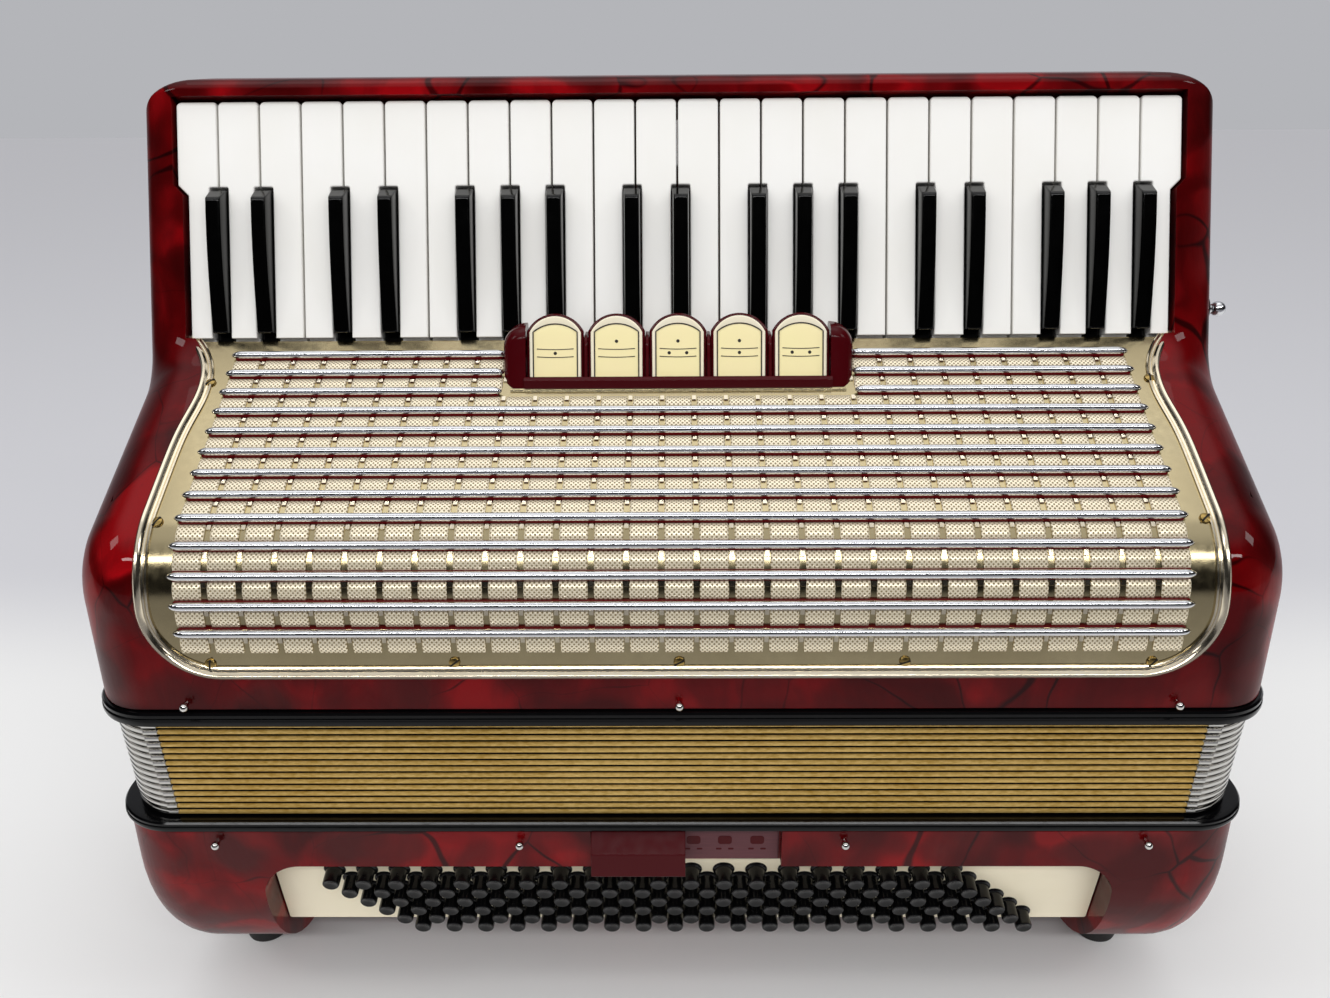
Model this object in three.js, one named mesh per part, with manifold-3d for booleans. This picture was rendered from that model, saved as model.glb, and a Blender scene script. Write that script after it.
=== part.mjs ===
import Module from 'manifold-3d';
import * as THREE from 'three';
import { mergeVertices } from 'three/addons/utils/BufferGeometryUtils.js';

const wasm = await Module();
wasm.setup();

// A piano accordion that stands on the feet of its bass end, keyboard up, bellows closed.
// Lengths are millimetres. X runs along the keyboard and Z up. Inside the instrument's group, y is the
// depth behind the flat front of the two casings, and the group is moved so that the origin lies under
// the middle of the whole instrument, at floor level.

// Keyboard's reach across, with its naturals side by side
const keyPitch = 18.8;
const naturals = 'AGFEDCBAGFEDCBAGFEDCBAGF';
const keyboardHalf = (naturals.length * keyPitch) / 2;

// Casings
const cheekWidth = 17.4;
const caseWidth = 2 * (keyboardHalf + cheekWidth);
const caseDepth = 190;
const caseWall = 7;
const endRound = 26;
const backRound = 18;
const seatGap = 0.3;
const cutOverrun = 40;

// Stack from the floor up
const footHeight = 12;
const bassHeight = 98;
const bassFrameThickness = 5.4;
const foldPitch = 3.06;
const foldCount = 15;
const trebleFrameThickness = 7.5;
const bassTop = footHeight + bassHeight;
const bassFrameBottom = bassTop + seatGap;
const bellowsBottom = bassFrameBottom + bassFrameThickness + seatGap;
const bellowsTop = bellowsBottom + foldCount * foldPitch;
const trebleFrameBottom = bellowsTop + seatGap;
const trebleBottom = trebleFrameBottom + trebleFrameThickness + seatGap;

// Treble casing, from its front up over the sloping shelf to the keyboard
const bellyRise = 66.9;
const bellyRadius = 40;
const shelfSlope = THREE.MathUtils.degToRad(28.9);
const waistRadius = 30;
const cheekRise = 3;
const cheekRound = 14;
const railRound = 18;
const railRise = 9;
const railEdgeRadius = 6;
const topRailDepth = 39.3;
const topBackRadius = 12;
const backBendRise = 160;
const backBendRadius = 60;
const keybedFloor = 18;
const cavityRoofRise = 112;

// Keyboard: the plane of the white keys leans back, and starts at the inner end of the keys
const keyLean = THREE.MathUtils.degToRad(19.05);
const keyPlaneDepth = 108.4;
const keyPlaneRise = 128.4;
const keyLength = 105.4;
const keyGap = 0.9;
const keyThickness = 12;
const keyLipRadius = 2.5;
const keyCoverEnd = 1;
const keyTail = 30;
const keyTailDrop = 5;
const keyEndGap = 1.3;
const keySideGap = 1;
const endKeyNotch = 4.6;
const endKeyNotchStart = 68;
const axleRadius = 2;
const axleReach = 12;
const axleDrop = 8;
const axleSeat = 8;
const sharpWidth = 9.4;
const sharpTopWidth = 6.2;
const sharpShoulder = 1.6;
const sharpHeight = 8;
const sharpLength = 67;
const sharpSlope = 7.5;
const sharpInnerEnd = 1.5;
const sharpEdgeRadius = 1.5;
const sharpEndGap = 1;
const sharpSpread = 1.5;
const sharpPlaceShares = { BA: -1, AG: 0, GF: 1, ED: -1, DC: 1 };

// Treble grille: a formed sheet with a rolled rim and raised bars
const grilleSideMargin = 31;
const grilleHalfWidth = caseWidth / 2 - grilleSideMargin;
const grilleFlare = 12;
const grilleFlareHeight = 12;
const grilleBottomRise = 15;
const grilleCornerRadius = 30;
const grilleThickness = 2;
const grilleRimWidth = 4.5;
const grilleRimRise = 1.8;
const grilleLedge = 8;
const grilleEdgeGap = 2;
const barEndMargin = 13;
const barLength = 2 * (grilleHalfWidth - barEndMargin);
const barHalfWidth = 2.1;
const barRise = 2.4;
const barSink = 0.6;
const barCount = 13;
const lastBarRise = 36;
const firstBarMargin = 11;

// Register housing and its five rocker switches
const switchCount = 5;
const switchPitch = 26.7;
const switchWidth = 21.4;
const switchHeight = 23.8;
const switchArchRise = 6.5;
const switchThickness = 2.6;
const switchLean = THREE.MathUtils.degToRad(18);
const switchHubRadius = 2.1;
const switchFootInset = 7.9;
const dividerWidth = 3.4;
const housingEdgeMargin = 7.4;
const housingDepth = 21;
const housingHeight = 27.4;
const housingTopFront = 9;
const housingTopBack = 1;
const housingDividerDrop = 4.5;
const housingStripHeight = 4.6;
const housingStripDepth = 3;
const housingCheekWidth = 9.6;
const housingFloorRise = 1;
const housingBackWall = 2;
const housingFrontRadius = 6;
const housingBackRadius = 2.5;
const housingSink = 1.5;

// Bellows and the two frames that close them
const frameProud = 2;
const frameFrontRadius = 28;
const frameBackRadius = 20;
const frameWidth = 22;
const frameEdge = 1.6;
const bellowsSideInset = 6.5;
const bellowsFrontInset = 3;
const foldDepth = 5;
const bellowsWall = 20;

// Bass casing: a box with a lobe at each end and a recess between them for the hand
const bassFrontRadius = 75;
const bassBackRadius = 45;
const lipThickness = 8;
const lipDrop = 18.6;
const lipRise = bassHeight - lipDrop;
const lobeWidth = 59;
const recessHalfWidth = caseWidth / 2 - lobeWidth;
const recessShift = 3;
const recessFlareShare = 0.03;
const recessCornerRadius = 15;
const endPlateRise = 29;
const footRadius = 10;
const footSides = 16;
const footSideInset = 32;
const footSpread = caseWidth / 2 - footSideInset;
const footFrontDepth = 62;
const footBackDepth = 148;
const footSink = 12;

// Button board, leaning so that it faces the front and a little down
const boardTopDepth = 9.5;
const boardLean = THREE.MathUtils.degToRad(15.8);
const boardThickness = 2.5;
const boardFootGap = 1.808;
const boardHeight = (lipRise - endPlateRise - boardFootGap) / Math.cos(boardLean);
const boardSideGap = 0.5;
const buttonRows = 6;
const buttonsPerRow = 20;
const rowsPerGroup = 2;
const buttonLeftMargin = 27;
const buttonRightMargin = 30.325;
const buttonFirstRow = 12.6;
const buttonLastRowMargin = 4.65;
const buttonFieldWidth = 2 * recessHalfWidth - buttonLeftMargin - buttonRightMargin;
const buttonPitch = buttonFieldWidth / (buttonsPerRow - 1 + (buttonRows - 1) / 2);
const buttonRowPitch = (boardHeight - buttonFirstRow - buttonLastRowMargin) / (buttonRows - 1);
const buttonRadius = 3.8;
const buttonSides = 8;
const buttonTravel = 3.5;
const buttonFloorGap = 0.9;
const buttonCapLength = 4;
const railThickness = 2;
const railClearance = 0.4;
const carrierDrop = 7.5;
const carrierThickness = 2;
const carrierGap = 2.65;
const carrierMargin = (buttonRowPitch - carrierGap) / 2;
const windowMargin = 5;

// Bass register slide in its track above the buttons
const trackHalfWidth = 40.5;
const trackDepth = 5;
const trackShift = 2.5;
const slideWidth = 40;
const slideProud = 7;
const slideShoulder = 4.6;
const slideFoot = 0.6;

// Air button and hand strap, both under the end plate
const airButtonSideGap = 24;
const airButtonX = recessShift + recessHalfWidth - airButtonSideGap;
const airButtonDepth = 62;
const airButtonRadius = 6;
const airButtonReach = 8;
const airButtonFlange = 3;
const airButtonFlangeThickness = 2;
const airButtonSides = 14;
const strapSideGap = 8;
const strapHalfLength = recessHalfWidth - strapSideGap;
const strapDrop = 24;
const strapThickness = 3.6;
const strapFrontDepth = 92;
const strapWidth = 66;
const strapSteps = 12;
const strapLandShare = 0.08;

// Fineness of the curves, and the smallest detail kept
const arcSteps = 4;
const roundSteps = 4;
const smallArcSteps = 2;
const axleSides = 8;
const leastDetail = 0.01;

const xAxis = new THREE.Vector3(1, 0, 0);
const yAxis = new THREE.Vector3(0, 1, 0);
const zAxis = new THREE.Vector3(0, 0, 1);

// Colours and finishes
const celluloid = new THREE.MeshStandardMaterial({ color: 0x8f0d16, roughness: 0.18 });
const blackLacquer = new THREE.MeshStandardMaterial({ color: 0x0d0d0e, roughness: 0.3 });
const goldMetal = new THREE.MeshStandardMaterial({ color: 0xd8cfa4, roughness: 0.25, metalness: 1 });
const steel = new THREE.MeshStandardMaterial({ color: 0xb9bcc0, roughness: 0.3, metalness: 1 });
const whiteKeyPlastic = new THREE.MeshStandardMaterial({ color: 0xefeee9, roughness: 0.25 });
const blackKeyPlastic = new THREE.MeshStandardMaterial({ color: 0x08080a, roughness: 0.12 });
const switchGold = new THREE.MeshStandardMaterial({ color: 0xf0dca0, roughness: 0.15, metalness: 0.8 });
const bellowsCard = new THREE.MeshStandardMaterial({ color: 0xb08a3c, roughness: 0.55 });
const creamPlate = new THREE.MeshStandardMaterial({ color: 0xe4dcbd, roughness: 0.4 });
const blackPlastic = new THREE.MeshStandardMaterial({ color: 0x101012, roughness: 0.2 });
const maroonPlastic = new THREE.MeshStandardMaterial({ color: 0x4a0c12, roughness: 0.2 });
const strapLeather = new THREE.MeshStandardMaterial({ color: 0x17120f, roughness: 0.7 });

// A solid from corners and triangles, turned so that its faces point out
function solidFrom(corners, triangles) {
  const [a, b, c] = [new THREE.Vector3(), new THREE.Vector3(), new THREE.Vector3()];
  let volume = 0;
  for (let i = 0; i < triangles.length; i += 3) {
    a.fromArray(corners, 3 * triangles[i]);
    b.fromArray(corners, 3 * triangles[i + 1]);
    c.fromArray(corners, 3 * triangles[i + 2]);
    volume += a.dot(b.cross(c));
  }
  const order = Uint32Array.from(triangles);
  if (volume < 0) order.reverse();
  return new wasm.Manifold(
    new wasm.Mesh({ numProp: 3, vertProperties: Float32Array.from(corners), triVerts: order }),
  );
}

function solidOf(geometry) {
  const bare = geometry.clone();
  bare.deleteAttribute('normal');
  bare.deleteAttribute('uv');
  const merged = mergeVertices(bare);
  return solidFrom(merged.attributes.position.array, merged.index.array);
}

function partMesh(name, solid, material) {
  const { vertProperties, triVerts } = solid.simplify(leastDetail).getMesh();
  const geometry = new THREE.BufferGeometry();
  geometry.setAttribute('position', new THREE.BufferAttribute(vertProperties, 3));
  geometry.setIndex(new THREE.BufferAttribute(triVerts, 1));
  geometry.computeVertexNormals();
  const mesh = new THREE.Mesh(geometry, material);
  mesh.name = name;
  return mesh;
}

// Extrusions of a flat outline along one axis, between two places on it
function extruded(outline, basis, start, length) {
  const geometry = new THREE.ExtrudeGeometry(new THREE.Shape(outline), {
    depth: length,
    bevelEnabled: false,
  });
  geometry.applyMatrix4(basis.setPosition(start));
  return geometry;
}

// The outline holds (y, z) pairs
function alongX(outline, from, to) {
  const basis = new THREE.Matrix4().makeBasis(yAxis, zAxis, xAxis);
  return extruded(outline, basis, xAxis.clone().multiplyScalar(from), to - from);
}

// The outline holds (x, z) pairs
function alongY(outline, from, to) {
  const basis = new THREE.Matrix4().makeBasis(xAxis, zAxis, yAxis.clone().negate());
  return extruded(outline, basis, yAxis.clone().multiplyScalar(to), to - from);
}

// The outline holds (x, y) pairs
function alongZ(outline, from, to) {
  const basis = new THREE.Matrix4();
  return extruded(outline, basis, zAxis.clone().multiplyScalar(from), to - from);
}

function block(fromX, toX, fromY, toY, fromZ, toZ) {
  const box = new THREE.BoxGeometry(toX - fromX, toY - fromY, toZ - fromZ);
  return box.translate((fromX + toX) / 2, (fromY + toY) / 2, (fromZ + toZ) / 2);
}

const point = (a, b) => new THREE.Vector2(a, b);
const polygon = (pairs) => pairs.map(([a, b]) => point(a, b));

// An outline of corners [a, b, fillet radius], each fillet an arc of the given number of steps
function filleted(corners, steps) {
  const count = corners.length;
  return corners.flatMap(([a, b, radius], i) => {
    const at = point(a, b);
    if (!radius) return [at];
    const [a0, b0] = corners[(i + count - 1) % count];
    const [a1, b1] = corners[(i + 1) % count];
    const back = point(a0, b0).sub(at).normalize();
    const ahead = point(a1, b1).sub(at).normalize();
    const halfAngle = Math.acos(THREE.MathUtils.clamp(back.dot(ahead), -1, 1)) / 2;
    const centre = back.clone().add(ahead).normalize().multiplyScalar(radius / Math.sin(halfAngle)).add(at);
    const reach = radius / Math.tan(halfAngle);
    const first = back.multiplyScalar(reach).add(at).sub(centre);
    const last = ahead.multiplyScalar(reach).add(at).sub(centre);
    const sweep = Math.atan2(first.cross(last), first.dot(last));
    return Array.from({ length: steps + 1 }, (_, k) =>
      first.clone().rotateAround(point(0, 0), (sweep * k) / steps).add(centre),
    );
  });
}

// The same corners with each edge moved inwards by its own amount. The outline runs clockwise, and an
// edge leads from its corner to the next. Outer fillets lose the amount and inner ones gain it.
const leastRadius = 0.6;
function insetCorners(corners, amounts) {
  const count = corners.length;
  const edges = corners.map(([a, b], i) => {
    const [a1, b1] = corners[(i + 1) % count];
    const along = point(a1 - a, b1 - b).normalize();
    const at = point(along.y, -along.x).multiplyScalar(amounts[i]).add(point(a, b));
    return { at, along };
  });
  return corners.map(([, , radius], i) => {
    const before = edges[(i + count - 1) % count];
    const after = edges[i];
    const turn = before.along.cross(after.along);
    const gap = after.at.clone().sub(before.at);
    const met = before.along.clone().multiplyScalar(gap.cross(after.along) / turn).add(before.at);
    const amount = (amounts[i] + amounts[(i + count - 1) % count]) / 2;
    const change = turn < 0 ? -amount : amount;
    return [met.x, met.y, radius ? Math.max(leastRadius, radius + change) : 0];
  });
}

// A skin over rings of equal point counts; the ends are capped, or the last ring joins the first
function skinOver(rings, closed = false) {
  const count = rings[0].length;
  const corners = rings.flatMap((ring) => ring.flatMap((v) => [v.x, v.y, v.z]));
  const triangles = [];
  const spans = closed ? rings.length : rings.length - 1;
  for (let r = 0; r < spans; r++) {
    const low = r * count;
    const high = ((r + 1) % rings.length) * count;
    for (let i = 0; i < count; i++) {
      const j = (i + 1) % count;
      triangles.push(low + i, low + j, high + j, low + i, high + j, high + i);
    }
  }
  if (!closed) {
    const flat = (ring) => ring.map((v) => point(v.y, v.z));
    const lastStart = (rings.length - 1) * count;
    THREE.ShapeUtils.triangulateShape(flat(rings[0]), []).forEach(([a, b, c]) => {
      const [p, q, s] = [a, b, c].map((i) => point(rings[0][i].y, rings[0][i].z));
      const isClockwise = q.clone().sub(p).cross(s.clone().sub(p)) < 0;
      const [m, n] = isClockwise ? [b, c] : [c, b];
      triangles.push(a, n, m);
      triangles.push(lastStart + a, lastStart + m, lastStart + n);
    });
  }
  return solidFrom(corners, triangles);
}

// A casing of one cross-section whose two ends are rounded: each ring towards an end draws its edges in
function roundedCase(corners, amounts) {
  const flatHalf = caseWidth / 2 - endRound;
  const rings = [];
  for (const side of [-1, 1]) {
    for (let k = 0; k <= roundSteps; k++) {
      const turn = (Math.PI / 2) * (side < 0 ? 1 - k / roundSteps : k / roundSteps);
      const drawn = amounts.map((amount) => amount * (1 - Math.cos(turn)));
      const x = side * (flatHalf + endRound * Math.sin(turn));
      const outline = filleted(insetCorners(corners, drawn), arcSteps);
      rings.push(outline.map((v) => new THREE.Vector3(x, v.x, v.y)));
    }
  }
  return skinOver(rings);
}

// Where two lines meet, each given by a point and a direction
function crossing(at, along, at2, along2) {
  const gap = at2.clone().sub(at);
  return along.clone().multiplyScalar(gap.cross(along2) / along.cross(along2)).add(at);
}

// The treble casing's cross-section: front, shelf, cheek, top rail and back
const shelfAlong = point(Math.cos(shelfSlope), Math.sin(shelfSlope));
const shelfOut = point(-Math.sin(shelfSlope), Math.cos(shelfSlope));
const keyAlong = point(Math.sin(keyLean), Math.cos(keyLean));
const keyOut = point(-Math.cos(keyLean), Math.sin(keyLean));
const bellyCorner = point(0, trebleBottom + bellyRise);
const keyInner = point(keyPlaneDepth, trebleBottom + keyPlaneRise);
const cheekLine = keyInner.clone().addScaledVector(keyOut, cheekRise);
const waistCorner = crossing(bellyCorner, shelfAlong, cheekLine, keyAlong);
const topHeight = keyInner.y + keyLength * keyAlong.y + railRise;
const topFront = crossing(cheekLine, keyAlong, point(0, topHeight), point(1, 0));
const trebleCorners = [
  [0, trebleBottom, 0],
  [bellyCorner.x, bellyCorner.y, bellyRadius],
  [waistCorner.x, waistCorner.y, waistRadius],
  [topFront.x, topFront.y, railEdgeRadius],
  [topFront.x + topRailDepth, topHeight, topBackRadius],
  [caseDepth, trebleBottom + backBendRise, backBendRadius],
  [caseDepth, trebleBottom, 0],
];
const trebleEndAmounts = [endRound, endRound, cheekRound, railRound, backRound, backRound, 0];
const shelfAt = (depth, rise) =>
  point(depth, bellyCorner.y + depth * Math.tan(shelfSlope)).addScaledVector(shelfOut, rise);

// The grille's cross-section line, sunk below the casing's surface, and run on past its upper edge
const grilleTop = keyInner.clone().addScaledVector(keyAlong, -grilleEdgeGap);
const grilleEdge = crossing(bellyCorner, shelfAlong, grilleTop, keyOut);
const grilleBottom = trebleBottom + grilleBottomRise;
function grilleLine(sink, overrun = 0) {
  const corners = insetCorners(trebleCorners, trebleEndAmounts.map(() => sink));
  const arc = filleted(corners, arcSteps + smallArcSteps).slice(1, arcSteps + smallArcSteps + 2);
  const end = grilleEdge.clone().addScaledVector(shelfOut, -sink).addScaledVector(shelfAlong, overrun);
  return [point(sink, grilleBottom), ...arc, end];
}
const grilleBand = (outer, inner, overrun) => [
  ...grilleLine(outer, overrun),
  ...grilleLine(inner, overrun).reverse(),
];

// The grille's outline seen from the front, drawn in by a margin
function grilleFace(margin) {
  const low = grilleBottom + margin;
  const side = grilleHalfWidth - margin;
  const top = grilleEdge.y + cutOverrun;
  const flareStart = grilleEdge.y - grilleFlareHeight;
  const flareEnd = grilleEdge.y + grilleEdgeGap;
  const radius = grilleCornerRadius - margin;
  return filleted(
    [
      [-side, low, radius],
      [side, low, radius],
      [side, flareStart, 0],
      [side + grilleFlare, flareEnd, 0],
      [side + grilleFlare, top, 0],
      [-side - grilleFlare, top, 0],
      [-side - grilleFlare, flareEnd, 0],
      [-side, flareStart, 0],
    ],
    arcSteps,
  );
}

// The keyboard's own frame: x along the keys, y up their length, z out of their tops
const keyboardTurn = Math.PI / 2 - keyLean;
const keyboardMatrix = new THREE.Matrix4().makeRotationX(keyboardTurn);
keyboardMatrix.setPosition(0, keyInner.x, keyInner.y);
const wellHalf = keyboardHalf + keySideGap;
const tailHalf = wellHalf - endKeyNotch;

function trebleCasing() {
  const outer = roundedCase(trebleCorners, trebleEndAmounts);
  const roof = trebleBottom + cavityRoofRise;
  const innerShelf = shelfAt(0, -caseWall);
  const roofFront = crossing(innerShelf, shelfAlong, point(0, roof), point(1, 0));
  const cavity = filleted(
    [
      [caseWall, trebleBottom - cutOverrun, 0],
      [caseWall, innerShelf.y + (caseWall - innerShelf.x) * Math.tan(shelfSlope), bellyRadius - caseWall],
      [roofFront.x, roof, 0],
      [caseDepth - caseWall, roof, 0],
      [caseDepth - caseWall, trebleBottom - cutOverrun, 0],
    ],
    arcSteps,
  );
  const cavityHalf = caseWidth / 2 - endRound / 2;
  const inner = solidOf(alongX(cavity, -cavityHalf, cavityHalf));

  // Rebate that the grille lies in, and the opening behind it
  const rebateBand = grilleBand(-cutOverrun, grilleThickness + seatGap);
  const rebate = solidOf(alongX(rebateBand, -caseWidth, caseWidth)).intersect(
    solidOf(alongY(grilleFace(-seatGap), -cutOverrun, caseDepth)),
  );
  const openingBand = grilleBand(-cutOverrun, caseWall + seatGap);
  const opening = solidOf(alongX(openingBand, -caseWidth, caseWidth)).intersect(
    solidOf(alongY(grilleFace(grilleLedge), -cutOverrun, caseDepth)),
  );

  // Well for the keys, with its narrower inner part and the pocket for their tails
  const wellEnd = keyLength + keyEndGap;
  const pocketEnd = -keyTail - keyTailDrop;
  const wellProfile = polygon([
    [-keyCoverEnd, cutOverrun],
    [-keyCoverEnd, -cheekRise],
    [pocketEnd, -cheekRise],
    [pocketEnd, -keybedFloor],
    [wellEnd, -keybedFloor],
    [wellEnd, cutOverrun],
  ]);
  const wellPlan = polygon([
    [-tailHalf, pocketEnd - cutOverrun],
    [tailHalf, pocketEnd - cutOverrun],
    [tailHalf, endKeyNotchStart - endKeyNotch],
    [wellHalf, endKeyNotchStart],
    [wellHalf, wellEnd + cutOverrun],
    [-wellHalf, wellEnd + cutOverrun],
    [-wellHalf, endKeyNotchStart],
    [-tailHalf, endKeyNotchStart - endKeyNotch],
  ]);
  const well = solidOf(alongX(wellProfile, -caseWidth, caseWidth)).intersect(
    solidOf(alongZ(wellPlan, -keybedFloor - cutOverrun, 2 * cutOverrun)),
  );

  // Bores for the key axle in the two cheeks
  const boreHalf = tailHalf + axleSeat;
  const bore = rodAlongX(axleRadius + seatGap, -boreHalf, boreHalf).applyMatrix4(keyboardMatrix);
  return outer
    .subtract(inner)
    .subtract(rebate)
    .subtract(opening)
    .subtract(well.transform(keyboardMatrix.elements))
    .subtract(solidOf(bore));
}

// A round bar on the key axle's line, in the keyboard's frame
function rodAlongX(radius, from, to) {
  const rod = new THREE.CylinderGeometry(radius, radius, to - from, axleSides);
  rod.rotateZ(Math.PI / 2);
  return rod.translate((from + to) / 2, -axleReach, -axleDrop);
}

function keyAxle() {
  const half = tailHalf + axleSeat - seatGap;
  return solidOf(rodAlongX(axleRadius, -half, half));
}

// The sharps lie over the gaps between naturals, each moved by its place in its group
const naturalX = (index) => (index + 0.5) * keyPitch - keyboardHalf;
const sharps = [...naturals].slice(1).flatMap((right, gap) => {
  const share = sharpPlaceShares[naturals[gap] + right];
  return share === undefined ? [] : [{ x: (gap + 1) * keyPitch - keyboardHalf + share * sharpSpread }];
});

function whiteKey(index) {
  const middle = naturalX(index);
  const half = (keyPitch - keyGap) / 2;
  const keyStart = seatGap - keyCoverEnd;
  const profile = filleted(
    [
      [-keyTail, -keyThickness, 0],
      [-keyTail, -keyTailDrop, 0],
      [keyStart, -keyTailDrop, 0],
      [keyStart, 0, 0],
      [keyLength, 0, keyLipRadius],
      [keyLength, -keyThickness, 0],
    ],
    smallArcSteps,
  );
  let key = solidOf(alongX(profile, -half, half));
  for (const { x } of sharps) {
    if (Math.abs(x - middle) > keyPitch) continue;
    const notchHalf = sharpWidth / 2 + keyGap;
    const side = Math.sign(x - middle);
    const inside = x - middle - side * notchHalf;
    const outside = side * keyPitch;
    const [from, to] = side < 0 ? [outside, inside] : [inside, outside];
    const notchEnd = sharpLength + sharpEndGap;
    key = key.subtract(solidOf(block(from, to, -keyTail - cutOverrun, notchEnd, -cutOverrun, cutOverrun)));
  }
  const end = index === 0 ? -1 : index === naturals.length - 1 ? 1 : 0;
  if (end) {
    const notchPlan = polygon([
      [half, endKeyNotchStart],
      [half - endKeyNotch, endKeyNotchStart - endKeyNotch],
      [half - endKeyNotch, -keyTail - cutOverrun],
      [half + cutOverrun, -keyTail - cutOverrun],
      [half + cutOverrun, endKeyNotchStart],
    ]).map((v) => point(end * v.x, v.y));
    key = key.subtract(solidOf(alongZ(notchPlan, -cutOverrun, cutOverrun)));
  }
  return key.subtract(solidOf(rodAlongX(axleRadius + seatGap, -keyPitch, keyPitch)));
}

function blackKey() {
  const profile = filleted(
    [
      [-keyTail, -keyThickness, 0],
      [-keyTail, -keyTailDrop, 0],
      [sharpInnerEnd, -keyTailDrop, 0],
      [sharpInnerEnd, sharpHeight, 0],
      [sharpLength - sharpSlope, sharpHeight, sharpEdgeRadius],
      [sharpLength, 0, 0],
      [sharpLength, -keyThickness, 0],
    ],
    smallArcSteps,
  );
  const shoulderHalf = (sharpWidth + sharpTopWidth) / 4;
  const shoulderHeight = sharpHeight - sharpShoulder;
  const section = polygon([
    [-sharpWidth / 2, -keyThickness - cutOverrun],
    [sharpWidth / 2, -keyThickness - cutOverrun],
    [sharpWidth / 2, 0],
    [shoulderHalf, shoulderHeight],
    [sharpTopWidth / 2, sharpHeight + seatGap],
    [-sharpTopWidth / 2, sharpHeight + seatGap],
    [-shoulderHalf, shoulderHeight],
    [-sharpWidth / 2, 0],
  ]);
  return solidOf(alongX(profile, -sharpWidth, sharpWidth))
    .intersect(solidOf(alongY(section, -keyTail - cutOverrun, keyLength)))
    .subtract(solidOf(rodAlongX(axleRadius + seatGap, -sharpWidth, sharpWidth)));
}

// Places of the bars on the grille: along the shelf, round the belly and down the front
function barPlaces() {
  const line = grilleLine(0);
  const lengths = line.slice(1).map((v, i) => v.distanceTo(line[i]));
  const total = lengths.reduce((sum, length) => sum + length, 0);
  const first = lastBarRise - grilleBottomRise;
  const step = (total - first - firstBarMargin) / (barCount - 1);
  return Array.from({ length: barCount }, (_, k) => {
    let left = first + k * step;
    let i = 0;
    while (left > lengths[i]) left -= lengths[i++];
    const along = line[i + 1].clone().sub(line[i]).normalize();
    return { at: along.clone().multiplyScalar(left).add(line[i]), along };
  });
}

function bar({ at, along }) {
  const outwards = point(-along.y, along.x);
  const place = (across, rise) => at.clone().addScaledVector(along, across).addScaledVector(outwards, rise);
  const section = [
    place(-barHalfWidth, -barSink),
    place(-barHalfWidth, barRise / 2),
    place(-barHalfWidth / 2, barRise),
    place(barHalfWidth / 2, barRise),
    place(barHalfWidth, barRise / 2),
    place(barHalfWidth, -barSink),
  ];
  return solidOf(alongX(section.reverse(), -barLength / 2, barLength / 2));
}

// Register housing: two cheeks, dividers between the switches, a front strip, a floor and a low back wall
const housingHalf = (switchCount * switchPitch) / 2;
const housingBackDepth = grilleEdge.x - housingEdgeMargin;
const housingFrontDepth = housingBackDepth - housingDepth;
const housingInnerFront = housingFrontDepth + housingStripDepth / 2;
const housingInnerBack = housingBackDepth - housingBackWall / 2;
function housingProfile(drop) {
  const front = shelfAt(housingFrontDepth, -housingSink);
  const back = shelfAt(housingBackDepth, -housingSink);
  const top = front.y + housingHeight - drop;
  return filleted(
    [
      [front.x, front.y, 0],
      [front.x + housingTopFront, top, housingFrontRadius],
      [back.x - housingTopBack, top, housingBackRadius],
      [back.x, back.y, 0],
    ],
    smallArcSteps,
  );
}

function registerHousing() {
  const strip = [
    shelfAt(housingFrontDepth, -housingSink),
    shelfAt(housingFrontDepth, housingStripHeight),
    shelfAt(housingFrontDepth + housingStripDepth, housingStripHeight),
    shelfAt(housingFrontDepth + housingStripDepth, -housingSink),
  ];
  const floor = [
    shelfAt(housingInnerFront, -housingSink),
    shelfAt(housingInnerFront, housingFloorRise),
    shelfAt(housingInnerBack, housingFloorRise),
    shelfAt(housingInnerBack, -housingSink),
  ];
  const backWall = [
    shelfAt(housingBackDepth - housingBackWall, -housingSink),
    shelfAt(housingBackDepth - housingBackWall, housingStripHeight + housingStripDepth),
    shelfAt(housingBackDepth, housingStripHeight + housingStripDepth),
    shelfAt(housingBackDepth, -housingSink),
  ];
  const cheekOuter = housingHalf + housingCheekWidth;
  const cheekInner = housingHalf - dividerWidth / 2;
  let housing = solidOf(alongX(strip, -housingHalf, housingHalf))
    .add(solidOf(alongX(floor, -housingHalf, housingHalf)))
    .add(solidOf(alongX(backWall, -housingHalf, housingHalf)))
    .add(solidOf(alongX(housingProfile(0), -cheekOuter, -cheekInner)))
    .add(solidOf(alongX(housingProfile(0), cheekInner, cheekOuter)));
  for (let k = 1; k < switchCount; k++) {
    const x = k * switchPitch - housingHalf;
    const divider = alongX(housingProfile(housingDividerDrop), x - dividerWidth / 2, x + dividerWidth / 2);
    housing = housing.add(solidOf(divider));
  }
  return housing;
}

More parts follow.
